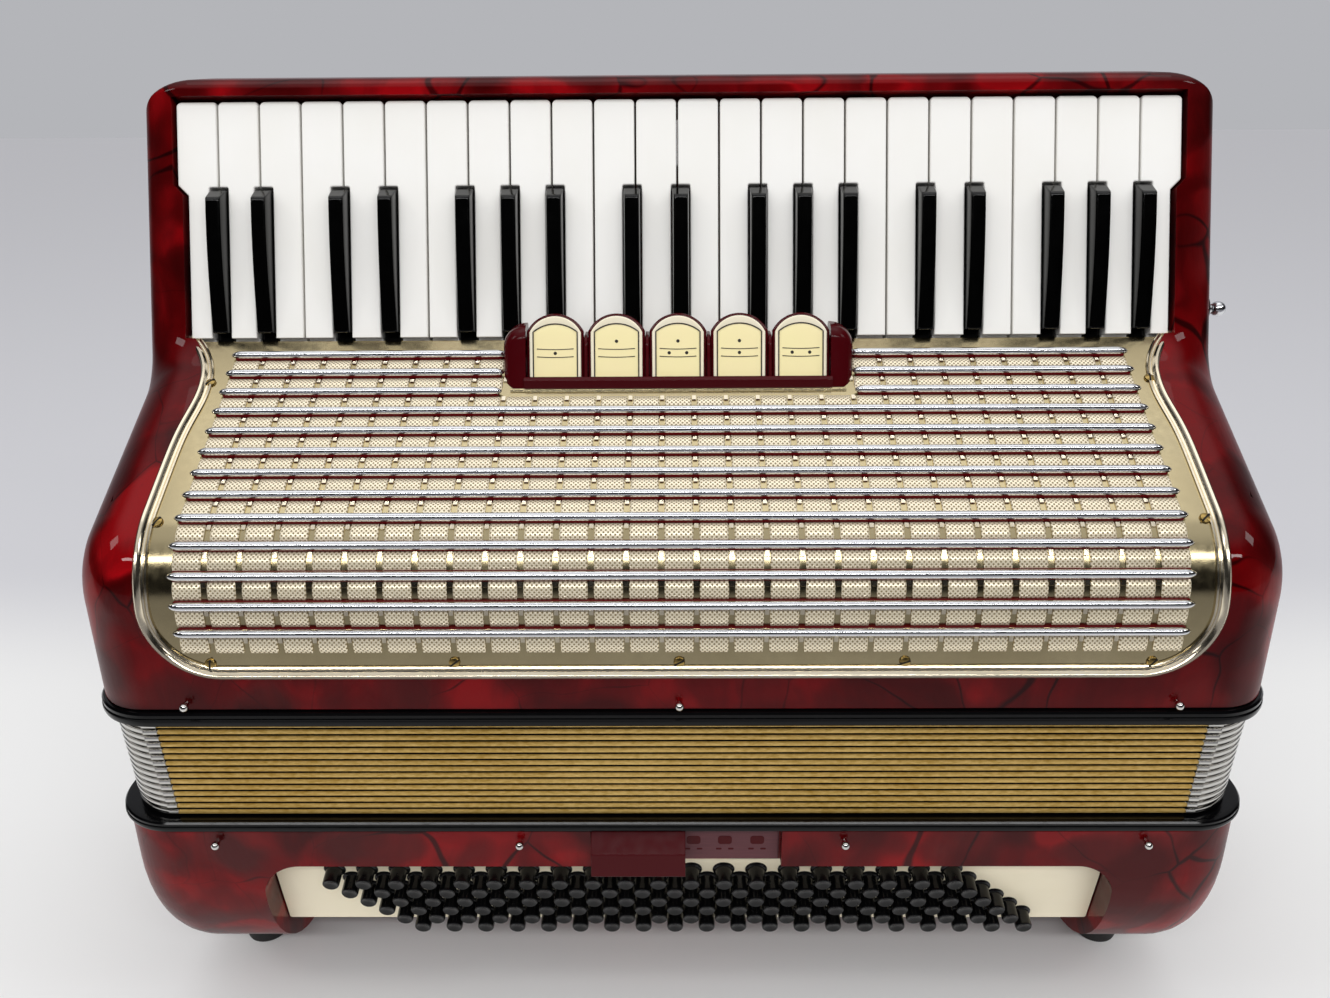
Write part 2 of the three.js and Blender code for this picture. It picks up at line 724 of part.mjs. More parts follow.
function trebleGrille() {
  const frontCut = (margin) => solidOf(alongY(grilleFace(margin), -cutOverrun, caseDepth));
  const formed = solidOf(alongX(grilleBand(-grilleRimRise, grilleThickness), -caseWidth, caseWidth));
  const dished = solidOf(alongX(grilleBand(-cutOverrun, 0, cutOverrun), -caseWidth, caseWidth));
  let grille = formed.intersect(frontCut(0)).subtract(dished.intersect(frontCut(grilleRimWidth)));
  for (const place of barPlaces()) grille = grille.add(bar(place));

  // The upper bars stop at the register housing
  const clearing = [
    shelfAt(housingInnerFront, -housingSink / 2),
    shelfAt(housingInnerFront, cutOverrun),
    shelfAt(housingInnerBack, cutOverrun),
    shelfAt(housingInnerBack, -housingSink / 2),
  ];
  return grille.subtract(solidOf(alongX(clearing, -housingHalf, housingHalf))).add(registerHousing());
}

// A register switch stands on its hub: x across, y up its face, z out of the face
function registerSwitch() {
  const half = switchWidth / 2;
  const straight = switchHeight - switchArchRise;
  const face = new THREE.Shape();
  face.moveTo(-half, 0);
  face.lineTo(half, 0);
  face.lineTo(half, straight);
  const archRadius = (half * half + switchArchRise * switchArchRise) / (2 * switchArchRise);
  const archStart = Math.acos(half / archRadius);
  face.absarc(0, switchHeight - archRadius, archRadius, archStart, Math.PI - archStart, false);
  const plate = new THREE.ExtrudeGeometry(face, {
    depth: switchThickness,
    bevelEnabled: false,
    curveSegments: 2 * arcSteps,
  });
  const hubHalf = (switchPitch - dividerWidth) / 2 - seatGap;
  const hub = new THREE.CylinderGeometry(switchHubRadius, switchHubRadius, 2 * hubHalf, axleSides);
  hub.rotateZ(Math.PI / 2);
  return solidOf(plate.translate(0, 0, -switchThickness / 2)).add(solidOf(hub));
}
const switchFootRise = housingFloorRise + seatGap + switchHubRadius;
const switchFoot = shelfAt(housingFrontDepth + switchFootInset, switchFootRise);

// Outline of a bellows frame or fold, drawn in from the frame's own outline by its two insets
function frameOutline(inset, frontInset = inset) {
  const half = caseWidth / 2 + frameProud - inset;
  const front = frontInset - frameProud;
  const back = caseDepth + frameProud - inset;
  const frontRadius = frameFrontRadius - inset / 2;
  const backRadius = frameBackRadius - inset / 2;
  return filleted(
    [
      [-half, front, frontRadius],
      [half, front, frontRadius],
      [half, back, backRadius],
      [-half, back, backRadius],
    ],
    arcSteps,
  );
}
const ringAt = (outline, z) => outline.map((v) => new THREE.Vector3(v.x, v.y, z));

function bellowsFrame(bottom, thickness) {
  const top = bottom + thickness;
  return skinOver(
    [
      ringAt(frameOutline(frameEdge), bottom),
      ringAt(frameOutline(0), bottom + frameEdge),
      ringAt(frameOutline(0), top - frameEdge),
      ringAt(frameOutline(frameEdge), top),
      ringAt(frameOutline(frameWidth), top),
      ringAt(frameOutline(frameWidth), bottom),
    ],
    true,
  );
}

function bellows() {
  const ridge = frameOutline(bellowsSideInset + frameProud, bellowsFrontInset + frameProud);
  const valley = frameOutline(
    bellowsSideInset + frameProud + foldDepth,
    bellowsFrontInset + frameProud + foldDepth,
  );
  const inside = frameOutline(bellowsWall + frameProud);
  const rings = [ringAt(valley, bellowsBottom)];
  for (let k = 0; k < foldCount; k++) {
    const z = bellowsBottom + k * foldPitch;
    rings.push(ringAt(ridge, z + foldPitch / 2), ringAt(valley, z + foldPitch));
  }
  rings.push(ringAt(inside, bellowsTop), ringAt(inside, bellowsBottom));
  return skinOver(rings, true);
}

// The button board's own frame: x along the rows, y up the board from its top edge, z out of its face
const boardTop = point(boardTopDepth, footHeight + lipRise);
const boardDown = point(Math.sin(boardLean), -Math.cos(boardLean));
const boardOut = point(-Math.cos(boardLean), -Math.sin(boardLean));
const boardAt = (down, out) =>
  boardTop.clone().addScaledVector(boardDown, down).addScaledVector(boardOut, out);
const boardTurn = Math.PI / 2 + boardLean;

const rowDown = (row) => buttonFirstRow + row * buttonRowPitch;
const rowStart = (row) => recessShift - recessHalfWidth + buttonLeftMargin + (row * buttonPitch) / 2;
const rowEnd = (row) => rowStart(row) + (buttonsPerRow - 1) * buttonPitch;

// The recess under the casing, with the button board's seat at its front
function recessOutline(wall) {
  const seat = boardThickness + seatGap + wall;
  const lip = footHeight + lipRise + wall;
  const plate = footHeight + endPlateRise + wall;
  const seatTop = crossing(boardAt(0, -seat), boardDown, point(0, lip), point(1, 0));
  const seatEnd = crossing(boardAt(0, -seat), boardDown, point(0, plate), point(1, 0));
  const front = -cutOverrun;
  const back = caseDepth + cutOverrun;
  return polygon([
    [front, -cutOverrun],
    [front, lip],
    [seatTop.x, lip],
    [seatEnd.x, plate],
    [back, plate],
    [back, -cutOverrun],
  ]);
}

function recess(wall) {
  const side = recessHalfWidth + wall;
  const lip = footHeight + lipRise + wall;
  const flare = (lip + cutOverrun) * recessFlareShare;
  const front = filleted(
    [
      [recessShift - side - flare, -cutOverrun, 0],
      [recessShift + side + flare, -cutOverrun, 0],
      [recessShift + side, lip, recessCornerRadius],
      [recessShift - side, lip, recessCornerRadius],
    ],
    arcSteps,
  );
  return solidOf(alongX(recessOutline(wall), -caseWidth, caseWidth)).intersect(
    solidOf(alongY(front, -cutOverrun, caseDepth + cutOverrun)),
  );
}

const bassCorners = [
  [0, footHeight, bassFrontRadius],
  [0, bassTop, 0],
  [caseDepth, bassTop, 0],
  [caseDepth, footHeight, bassBackRadius],
];
const bassEndAmounts = [endRound, 0, backRound, endRound];

function foot(x, depth) {
  const leg = new THREE.CylinderGeometry(footRadius, footRadius, footHeight + footSink, footSides);
  return solidOf(leg.rotateX(Math.PI / 2).translate(x, depth, (footHeight + footSink) / 2));
}

function airButtonHole() {
  const radius = airButtonRadius + seatGap;
  const hole = new THREE.CylinderGeometry(radius, radius, bassHeight, airButtonSides);
  hole.rotateX(Math.PI / 2).translate(airButtonX, airButtonDepth, footHeight + bassHeight / 2);
  return solidOf(hole);
}

function bassCasing() {
  const outer = roundedCase(bassCorners, bassEndAmounts);
  const cavityCorners = insetCorners(bassCorners, [lipThickness, -cutOverrun, caseWall, caseWall]);
  const cavityHalf = caseWidth / 2 - endRound / 2;
  const cavity = solidOf(alongX(filleted(cavityCorners, arcSteps), -cavityHalf, cavityHalf));
  const shell = outer.subtract(recess(0)).subtract(cavity.subtract(recess(caseWall)));

  // Window behind the board for the buttons' carriers
  const windowBand = [
    boardAt(rowDown(0) - windowMargin, 0),
    boardAt(rowDown(buttonRows - 1) + windowMargin, 0),
    boardAt(rowDown(buttonRows - 1) + windowMargin, -cutOverrun),
    boardAt(rowDown(0) - windowMargin, -cutOverrun),
  ];
  const boardWindow = alongX(
    windowBand,
    rowStart(0) - windowMargin - buttonRadius,
    rowEnd(buttonRows - 1) + windowMargin + buttonRadius,
  );

  // Track of the register slide in the lip
  const trackFrom = trackShift - trackHalfWidth;
  const trackTo = trackShift + trackHalfWidth;
  const trackLow = footHeight + lipRise - cutOverrun;
  const track = block(trackFrom, trackTo, -cutOverrun, trackDepth, trackLow, bassTop + cutOverrun);
  const feet = [-footSpread, footSpread]
    .flatMap((x) => [foot(x, footFrontDepth), foot(x, footBackDepth)])
    .reduce((all, one) => all.add(one));
  return shell
    .subtract(solidOf(boardWindow))
    .subtract(solidOf(track))
    .subtract(airButtonHole())
    .add(feet);
}

function buttonBoard() {
  const half = recessHalfWidth - boardSideGap;
  const flare = boardHeight * Math.cos(boardLean) * recessFlareShare;
  const corner = recessCornerRadius + 2 * boardSideGap;
  const topDrop = boardThickness * Math.tan(boardLean) + seatGap;
  const outline = filleted(
    [
      [recessShift - half, -topDrop, corner],
      [recessShift - half - flare, -boardHeight, 0],
      [recessShift + half + flare, -boardHeight, 0],
      [recessShift + half, -topDrop, corner],
    ],
    arcSteps,
  );
  let plate = solidOf(alongZ(outline, -boardThickness, 0));
  const slotHalf = railThickness / 2 + railClearance;
  for (let row = 0; row < buttonRows; row++) {
    const y = -rowDown(row);
    const from = rowStart(row) - buttonRadius - railClearance;
    const to = rowEnd(row) + buttonRadius + railClearance;
    plate = plate.subtract(solidOf(block(from, to, y - slotHalf, y + slotHalf, -cutOverrun, cutOverrun)));
  }
  return plate;
}

// Two rows of buttons on their rails, joined by a carrier behind the board
function buttonGroup(group) {
  const rows = Array.from({ length: rowsPerGroup }, (_, k) => group * rowsPerGroup + k);
  const capBottom = buttonTravel + buttonFloorGap;
  const carrierTop = -carrierDrop;
  const first = rows[0];
  const last = rows[rows.length - 1];
  let solid = solidOf(
    block(
      rowStart(first) - buttonRadius,
      rowEnd(last) + buttonRadius,
      -rowDown(last) - carrierMargin,
      -rowDown(first) + carrierMargin,
      carrierTop - carrierThickness,
      carrierTop,
    ),
  );
  for (const row of rows) {
    const y = -rowDown(row);
    const railHalf = railThickness / 2;
    const rail = block(
      rowStart(row) - buttonRadius,
      rowEnd(row) + buttonRadius,
      y - railHalf,
      y + railHalf,
      carrierTop - carrierThickness / 2,
      capBottom + railThickness / 2,
    );
    solid = solid.add(solidOf(rail));
    for (let k = 0; k < buttonsPerRow; k++) {
      const cap = new THREE.CylinderGeometry(buttonRadius, buttonRadius, buttonCapLength, buttonSides);
      cap.rotateY(Math.PI / buttonSides).rotateX(Math.PI / 2);
      cap.translate(rowStart(row) + k * buttonPitch, y, capBottom + buttonCapLength / 2);
      solid = solid.add(solidOf(cap));
    }
  }
  return solid;
}

function registerSlide() {
  const low = footHeight + lipRise;
  const back = trackDepth - seatGap;
  const profile = polygon([
    [back, low],
    [-slideProud, low],
    [-slideProud, bassTop - slideShoulder],
    [slideFoot, bassTop - seatGap],
    [back, bassTop - seatGap],
  ]);
  const from = trackShift - trackHalfWidth + seatGap;
  return solidOf(alongX(profile, from, from + slideWidth));
}

function airButton() {
  const plate = footHeight + endPlateRise;
  const low = plate - airButtonReach;
  const flangeBottom = plate + caseWall + seatGap;
  const profile = polygon([
    [0, low],
    [airButtonRadius, low],
    [airButtonRadius, flangeBottom],
    [airButtonRadius + airButtonFlange, flangeBottom],
    [airButtonRadius + airButtonFlange, flangeBottom + airButtonFlangeThickness],
    [0, flangeBottom + airButtonFlangeThickness],
  ]);
  const turned = new THREE.LatheGeometry(profile, airButtonSides).rotateX(Math.PI / 2);
  return solidOf(turned.translate(airButtonX, airButtonDepth, 0));
}

// The strap hangs in a shallow bow below the end plate; its two ends lie flat against it
function handStrap() {
  const top = footHeight + endPlateRise - seatGap;
  const bow = (share) => {
    const inside = Math.max(0, 1 - Math.abs(2 * share - 1) - strapLandShare) / (1 - strapLandShare);
    return top - strapDrop * Math.sin((inside * Math.PI) / 2);
  };
  const upper = Array.from({ length: strapSteps + 1 }, (_, k) => {
    const share = k / strapSteps;
    return point(recessShift + strapHalfLength * (2 * share - 1), bow(share));
  });
  const lower = upper.map((v) => point(v.x, v.y - strapThickness)).reverse();
  return solidOf(alongY([...upper, ...lower], strapFrontDepth, strapFrontDepth + strapWidth));
}

const instrument = new THREE.Group();
const whole = new THREE.Group();
const frontReach = slideProud;
whole.position.y = -(caseDepth + frameProud - frontReach) / 2;
instrument.add(whole);

whole.add(
  partMesh('treble_casing', trebleCasing(), celluloid),
  partMesh('treble_grille', trebleGrille(), goldMetal),
  partMesh('treble_bellows_frame', bellowsFrame(trebleFrameBottom, trebleFrameThickness), blackLacquer),
  partMesh('bellows', bellows(), bellowsCard),
  partMesh('bass_bellows_frame', bellowsFrame(bassFrameBottom, bassFrameThickness), blackLacquer),
  partMesh('bass_casing', bassCasing(), celluloid),
  partMesh('bass_register_slide', registerSlide(), maroonPlastic),
  partMesh('air_button', airButton(), blackPlastic),
  partMesh('hand_strap', handStrap(), strapLeather),
);

const twoDigits = (number) => String(number).padStart(2, '0');
const keyboard = new THREE.Group();
keyboard.rotation.x = keyboardTurn;
keyboard.position.set(0, keyInner.x, keyInner.y);
keyboard.add(partMesh('key_axle', keyAxle(), steel));
for (let k = 0; k < naturals.length; k++) {
  const key = partMesh(`white_key_${twoDigits(k + 1)}`, whiteKey(k), whiteKeyPlastic);
  key.position.x = naturalX(k);
  keyboard.add(key);
}
sharps.forEach(({ x }, k) => {
  const key = partMesh(`black_key_${twoDigits(k + 1)}`, blackKey(), blackKeyPlastic);
  key.position.x = x;
  keyboard.add(key);
});
whole.add(keyboard);

for (let k = 0; k < switchCount; k++) {
  const tab = partMesh(`register_switch_${k + 1}`, registerSwitch(), switchGold);
  tab.rotation.x = Math.PI / 2 - switchLean;
  tab.position.set((k - (switchCount - 1) / 2) * switchPitch, switchFoot.x, switchFoot.y);
  whole.add(tab);
}

const board = new THREE.Group();
board.rotation.x = boardTurn;
board.position.set(0, boardTop.x, boardTop.y);
board.add(partMesh('button_board', buttonBoard(), creamPlate));
for (let group = 0; group < buttonRows / rowsPerGroup; group++) {
  board.add(partMesh(`bass_buttons_${group + 1}`, buttonGroup(group), blackPlastic));
}
whole.add(board);

export default instrument;
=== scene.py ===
"""A piano accordion in red pearl celluloid, standing on the feet of its bass end with its bellows closed."""

import bmesh
import bpy
import numpy as np
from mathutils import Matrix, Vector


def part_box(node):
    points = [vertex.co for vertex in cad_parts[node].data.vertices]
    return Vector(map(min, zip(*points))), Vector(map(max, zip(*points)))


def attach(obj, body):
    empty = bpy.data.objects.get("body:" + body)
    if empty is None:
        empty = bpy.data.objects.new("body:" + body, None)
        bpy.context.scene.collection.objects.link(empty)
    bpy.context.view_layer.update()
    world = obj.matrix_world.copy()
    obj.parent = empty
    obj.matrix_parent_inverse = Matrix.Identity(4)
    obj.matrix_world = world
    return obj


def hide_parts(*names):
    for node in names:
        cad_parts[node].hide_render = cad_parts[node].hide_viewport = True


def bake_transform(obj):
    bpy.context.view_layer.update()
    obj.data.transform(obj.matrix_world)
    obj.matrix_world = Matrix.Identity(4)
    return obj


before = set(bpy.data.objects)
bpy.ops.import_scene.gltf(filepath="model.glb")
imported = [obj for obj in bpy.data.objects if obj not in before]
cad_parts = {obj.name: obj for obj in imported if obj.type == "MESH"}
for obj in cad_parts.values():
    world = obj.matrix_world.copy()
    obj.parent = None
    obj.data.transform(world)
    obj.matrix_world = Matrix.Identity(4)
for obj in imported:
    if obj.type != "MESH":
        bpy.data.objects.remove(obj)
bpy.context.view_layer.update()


# Bass casing
# A hollow box of thin boards under a skin of red pearl celluloid, which is cast in sheets, softened and
# drawn round the wood, then polished. Its front has a lobe at each end and a recess for the buttons.

MM = 0.001
LEAST_RADIUS = 0.3
CREASE = np.radians(30)


def unit(vectors):
    """Vectors scaled to length one."""
    return vectors / np.linalg.norm(vectors, axis=-1, keepdims=True)


def cross(first, second):
    """The cross products of plane vectors: the area of each pair's parallelogram, with its sign."""
    return first[:, 0] * second[:, 1] - first[:, 1] * second[:, 0]


def turned_left(along):
    """Plane directions after a quarter turn to the left."""
    return np.stack([-along[:, 1], along[:, 0]], -1)


def filleted(corners, steps):
    """The outline of corners (a, b, radius): each corner becomes an arc whose centre lies on the bisector,
    radius / sin(half the corner's angle) away from it."""
    corners = np.asarray(corners, float)
    at, radius = corners[:, :2], corners[:, 2:]
    back = unit(np.roll(at, 1, 0) - at)
    ahead = unit(np.roll(at, -1, 0) - at)
    half = np.arccos(np.clip((back * ahead).sum(1, keepdims=True), -1, 1)) / 2
    centre = at + unit(back + ahead) * radius / np.sin(half)
    first = at + back * radius / np.tan(half) - centre
    last = at + ahead * radius / np.tan(half) - centre
    sweep = np.arctan2(cross(first, last), (first * last).sum(1))
    turn = sweep[:, None] * np.linspace(0, 1, steps + 1)
    across = first[:, :1] * np.cos(turn) - first[:, 1:] * np.sin(turn)
    up = first[:, :1] * np.sin(turn) + first[:, 1:] * np.cos(turn)
    return (centre[:, None] + np.stack([across, up], -1)).reshape(-1, 2)


def inset(corners, amounts):
    """The same corners with each edge moved inwards by its own amount, an edge leading from its corner to
    the next. Outer fillets shrink by the move and inner ones grow."""
    corners = np.asarray(corners, float)
    amounts = np.broadcast_to(np.asarray(amounts, float), len(corners))
    at = corners[:, :2]
    along = unit(np.roll(at, -1, 0) - at)
    way_round = np.sign(cross(at, np.roll(at, -1, 0)).sum())
    inward = way_round * turned_left(along)
    moved = at + inward * amounts[:, None]
    before, before_along = np.roll(moved, 1, 0), np.roll(along, 1, 0)
    turn = cross(before_along, along)
    met = before + before_along * (cross(moved - before, along) / turn)[:, None]
    mean = (amounts + np.roll(amounts, 1)) / 2
    radius = np.maximum(LEAST_RADIUS, corners[:, 2] - np.sign(turn * way_round) * mean)
    return np.column_stack([met, radius])


def loft(rings, closed=False):
    """Corners and faces of a skin over rings of equal counts: four-sided faces between neighbours, and a
    flat cap at each end unless the last ring joins the first."""
    rings = np.asarray(rings, float)
    count, around = rings.shape[:2]
    rows, columns = np.mgrid[0 : count - (not closed), 0:around]
    next_rows, next_columns = (rows + 1) % count, (columns + 1) % around
    quads = [
        rows * around + columns,
        rows * around + next_columns,
        next_rows * around + next_columns,
        next_rows * around + columns,
    ]
    faces = np.stack(quads, -1).reshape(-1, 4).tolist()
    if not closed:
        last = (count - 1) * around
        faces += [list(range(around))[::-1], list(range(last, last + around))]
    return rings.reshape(-1, 3), faces


def linked(name, data):
    """A new object of some data, in the scene."""
    made = bpy.data.objects.new(name, data)
    bpy.context.scene.collection.objects.link(made)
    return made


def mesh_of(name, shapes):
    """A mesh object from shapes, each (corners in millimetres, faces) or those and a material number."""
    corners, faces, marks, start = [], [], [], 0
    for points, polygons, *mark in shapes:
        corners.append(points)
        faces += [[start + corner for corner in polygon] for polygon in polygons]
        marks += [mark[0] if mark else 0] * len(polygons)
        start += len(points)
    mesh = bpy.data.meshes.new(name)
    mesh.from_pydata(np.concatenate(corners) * MM, [], faces)
    mesh.polygons.foreach_set("material_index", np.array(marks, np.int32))
    return linked(name, mesh)


def points_of(made):
    """A piece's corners in millimetres."""
    return np.array([vertex.co for vertex in made.data.vertices]) / MM


def outwards(made, joined=0.0):
    """Turns every closed shell of a piece so that its faces point out, once corners within a distance are
    joined."""
    work = bmesh.new()
    work.from_mesh(made.data)
    if joined:
        bmesh.ops.remove_doubles(work, verts=work.verts, dist=joined)
    bmesh.ops.recalc_face_normals(work, faces=work.faces)
    work.to_mesh(made.data)
    work.free()


def applied(made):
    """Replaces a piece's mesh with what its modifiers make of it, and drops them."""
    graph = bpy.context.evaluated_depsgraph_get()
    mesh = bpy.data.meshes.new_from_object(made.evaluated_get(graph))
    made.modifiers.clear()
    made.data = mesh


def cut(made, *cutters, operation="DIFFERENCE"):
    """Cuts closed shapes out of a piece, one after another, or keeps only what it shares with them."""
    tools = [mesh_of("cutter", [cutter]) for cutter in cutters]
    for tool in tools:
        outwards(tool)
        boolean = made.modifiers.new("cut", "BOOLEAN")
        boolean.solver = "EXACT"
        boolean.operation = operation
        boolean.object = tool
    applied(made)
    for tool in tools:
        bpy.data.objects.remove(tool)


def coated(made, materials, crease=CREASE):
    """Gives a piece its materials, and smooth shading between its creases."""
    for material in materials:
        made.data.materials.append(material)
    made.data.shade_smooth()
    made.data.set_sharp_from_angle(angle=crease)


def dress(made, materials, body, crease=CREASE):
    """Gives a finished piece its materials and even shading, and fixes it to its body."""
    coated(made, materials, crease)
    flat = made.modifiers.new("even_shading", "WEIGHTED_NORMAL")
    flat.keep_sharp = True
    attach(made, body)
    return made


def piece(name, shapes, materials, body, crease=CREASE):
    """A closed piece from shapes in millimetres, finished and fixed to its body."""
    made = mesh_of(name, shapes)
    outwards(made)
    return dress(made, materials, body, crease)


def linear(value):
    """A colour written as sRGB hex, as the linear values that a shader takes. Any other value stays."""
    if not isinstance(value, str):
        return value
    shares = np.array([int(value[i : i + 2], 16) for i in (1, 3, 5)]) / 255
    light = np.where(shares <= 0.04045, shares / 12.92, ((shares + 0.055) / 1.055) ** 2.4)
    return (*light.tolist(), 1.0)


def add(material, kind, inputs=None, **settings):
    """Adds one shader node with its settings. Each input takes a value, a colour as hex, or a link."""
    tree = material.node_tree
    made = tree.nodes.new("ShaderNode" + kind)
    for name, value in settings.items():
        setattr(made, name, value)
    for name, value in (inputs or {}).items():
        if isinstance(value, bpy.types.NodeSocket):
            tree.links.new(value, made.inputs[name])
        else:
            made.inputs[name].default_value = linear(value)
    return made


def finish_of(name, colour, roughness, **values):
    """A new material with plain values on its surface shader's own sockets."""
    material = bpy.data.materials.new(name)
    material.use_nodes = True
    shader = material.node_tree.nodes["Principled BSDF"]
    shader.inputs["Base Color"].default_value = linear(colour)
    shader.inputs["Roughness"].default_value = roughness
    for socket, value in values.items():
        shader.inputs[socket.replace("_", " ")].default_value = linear(value)
    return material


def feed(material, **sockets):
    """Links outputs of other nodes to the surface shader's sockets."""
    shader = material.node_tree.nodes["Principled BSDF"]
    for name, output in sockets.items():
        material.node_tree.links.new(output, shader.inputs[name.replace("_", " ")])


def hazed(made, scale, detail, low, high):
    """Lets a haze of noise move a material's roughness between two values."""
    place = add(made, "TexCoord").outputs["Object"]
    haze = add(made, "TexNoise", {"Vector": place, "Scale": scale, "Detail": detail}).outputs["Fac"]
    feed(made, Roughness=add(made, "MapRange", {0: haze, 3: low, 4: high}).outputs[0])
    return made


# Pearl celluloid: cast sheet with mother-of-pearl pigment stirred into silky patches about 24 mm across.
# The pigment lies at a different slant in each, so some glow and others go nearly black. Thin dark veins
# run between a few of them, and the polish over it all is a mirror.
PEARL_PATCH = 0.024
PEARL_WARP = 0.045
PEARL_SLANT = 0.55
PEARL_STREAK = 0.004
VEIN_WIDTH = 0.012


def pearl_celluloid():
    """The sheet over both casings. Its patches lean the surface normal, and their tint follows the slant."""
    coat = {"Coat_Weight": 0.4, "Coat_Roughness": 0.02}
    made = finish_of("pearl_celluloid", "#560509", 0.45, Metallic=0.7, Specular_Tint="#b01019", **coat)
    place = add(made, "TexCoord").outputs["Object"]
    swirl = add(made, "TexNoise", {"Vector": place, "Scale": 11.0, "Detail": 3.0}).outputs["Color"]
    centred = add(made, "VectorMath", {0: swirl, 1: (0.5,) * 3}, operation="SUBTRACT").outputs[0]
    bent = add(
        made, "VectorMath", {0: centred, 1: (PEARL_WARP,) * 3, 2: place}, operation="MULTIPLY_ADD"
    ).outputs[0]
    patch = add(
        made,
        "TexVoronoi",
        {"Vector": bent, "Scale": 1 / PEARL_PATCH, "Smoothness": 0.6},
        feature="SMOOTH_F1",
    ).outputs["Color"]
    slant = add(made, "VectorMath", {0: patch, 1: (0.5,) * 3}, operation="SUBTRACT").outputs[0]
    drawn = add(made, "Mapping", {"Vector": bent, "Rotation": (0.5, 0.3, 0.4), "Scale": (1.0, 1.0, 0.16)})
    silk = add(
        made, "TexNoise", {"Vector": drawn.outputs[0], "Scale": 1 / PEARL_STREAK, "Detail": 2.0}
    ).outputs["Fac"]
    upright_normal = add(made, "NewGeometry").outputs["Normal"]
    leaning = add(
        made, "VectorMath", {0: slant, 1: (PEARL_SLANT,) * 3, 2: upright_normal}, operation="MULTIPLY_ADD"
    ).outputs[0]
    pigment = add(made, "VectorMath", {0: leaning}, operation="NORMALIZE").outputs[0]
    grain = add(
        made, "Bump", {"Strength": 0.25, "Distance": 0.0004, "Height": silk, "Normal": pigment}
    ).outputs[0]
    shares = add(made, "SeparateColor", {0: patch}).outputs
    cloud = add(made, "TexNoise", {"Vector": bent, "Scale": 34.0, "Detail": 2.0}).outputs["Fac"]
    level = add(made, "Math", {0: shares[0], 1: 0.6, 2: cloud}, operation="MULTIPLY_ADD").outputs[0]
    level = add(made, "Math", {0: silk, 1: 0.2, 2: level}, operation="MULTIPLY_ADD").outputs[0]
    level = add(made, "Math", {0: level, 1: 0.14}, operation="SUBTRACT").outputs[0]
    tint = add(made, "ValToRGB", {0: level})
    stops = tint.color_ramp.elements
    stops[0].position, stops[0].color = 0.5, linear("#470406")
    stops[1].position, stops[1].color = 1.05, linear("#86070d")
    middle = stops.new(0.8)
    middle.color = linear("#620509")
    edge = add(
        made, "TexVoronoi", {"Vector": bent, "Scale": 0.5 / PEARL_PATCH}, feature="DISTANCE_TO_EDGE"
    ).outputs["Distance"]
    broken = add(made, "TexNoise", {"Vector": place, "Scale": 17.0}).outputs["Fac"]
    width = add(made, "MapRange", {0: broken, 1: 0.44, 2: 0.62, 3: -0.01, 4: VEIN_WIDTH}).outputs[0]
    gap = add(made, "Math", {0: edge, 1: width}, operation="SUBTRACT").outputs[0]
    vein = add(made, "MapRange", {0: gap, 1: 0.0, 2: 0.016, 3: 0.85, 4: 0.0}).outputs[0]
    shade = add(made, "Mix", {0: vein, 6: tint.outputs[0], 7: "#180103"}, data_type="RGBA").outputs[2]
    feed(made, Base_Color=shade, Normal=grain)
    return made


celluloid = pearl_celluloid()

bass_low, bass_high = (np.array(corner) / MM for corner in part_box("bass_casing"))
FRONT = bass_low[1]
BACK = bass_high[1]
CASE_HALF = bass_high[0]
BASS_TOP = bass_high[2]
BASS_FLOOR = 12
END_ROUND = 26
BACK_ROUND = 18
LIP_HEIGHT = 91.4
LIP_THICKNESS = 8
PLATE_HEIGHT = 41
CASE_WALL = 7
RECESS_MIDDLE = 3
RECESS_HALF = 184
RECESS_FLARE = 0.03
RECESS_RADIUS = 17
BOARD_LEAN = np.radians(15.8)
BOARD_TOP_DEPTH = 9.5
BOARD_THICKNESS = 2.5
TRACK_LEFT = -38
TRACK_RIGHT = 43.4
TRACK_DEPTH = 5
AIR_BUTTON_X = 163
AIR_BUTTON_DEPTH = 62
AIR_BUTTON_RADIUS = 6
FAR = 60
ARC_STEPS = 14
END_STEPS = 14


def rounded_case(corners, amounts):
    """A casing of one cross-section (depth, height), whose ends are rounded: towards an end, x follows the
    sine of a quarter turn while each edge moves in by its amount times one minus the cosine."""
    turn = np.linspace(0, np.pi / 2, END_STEPS + 1)
    reach = CASE_HALF - END_ROUND + END_ROUND * np.sin(turn)
    sections = [
        filleted(inset(corners, np.array(amounts) * (1 - np.cos(angle))), ARC_STEPS) for angle in turn
    ]
    rings = [along_x(section, -x) for section, x in zip(sections[::-1], reach[::-1])]
    rings += [along_x(section, x) for section, x in zip(sections, reach)]
    return loft(rings)


def along_x(section, x):
    """A section of (depth, height) points as a ring at x."""
    section = np.asarray(section, float)
    return np.column_stack([np.full(len(section), x), FRONT + section[:, 0], section[:, 1]])


def along_y(section, depth):
    """A section of (x, height) points as a ring at a depth."""
    section = np.asarray(section, float)
    return np.column_stack([section[:, 0], np.full(len(section), FRONT + depth), section[:, 1]])


def prism_x(section, start, end):
    """A straight body along x between two places."""
    return loft([along_x(section, start), along_x(section, end)])


def prism_y(section, start, end):
    """A straight body along y between two depths."""
    return loft([along_y(section, start), along_y(section, end)])


def slab(plan, place, low, high):
    """A straight-sided body: a plan of pairs, which place turns into world corners at two levels."""
    across, along = np.asarray(plan, float).T
    return loft([place(across, along, level) for level in (low, high)])


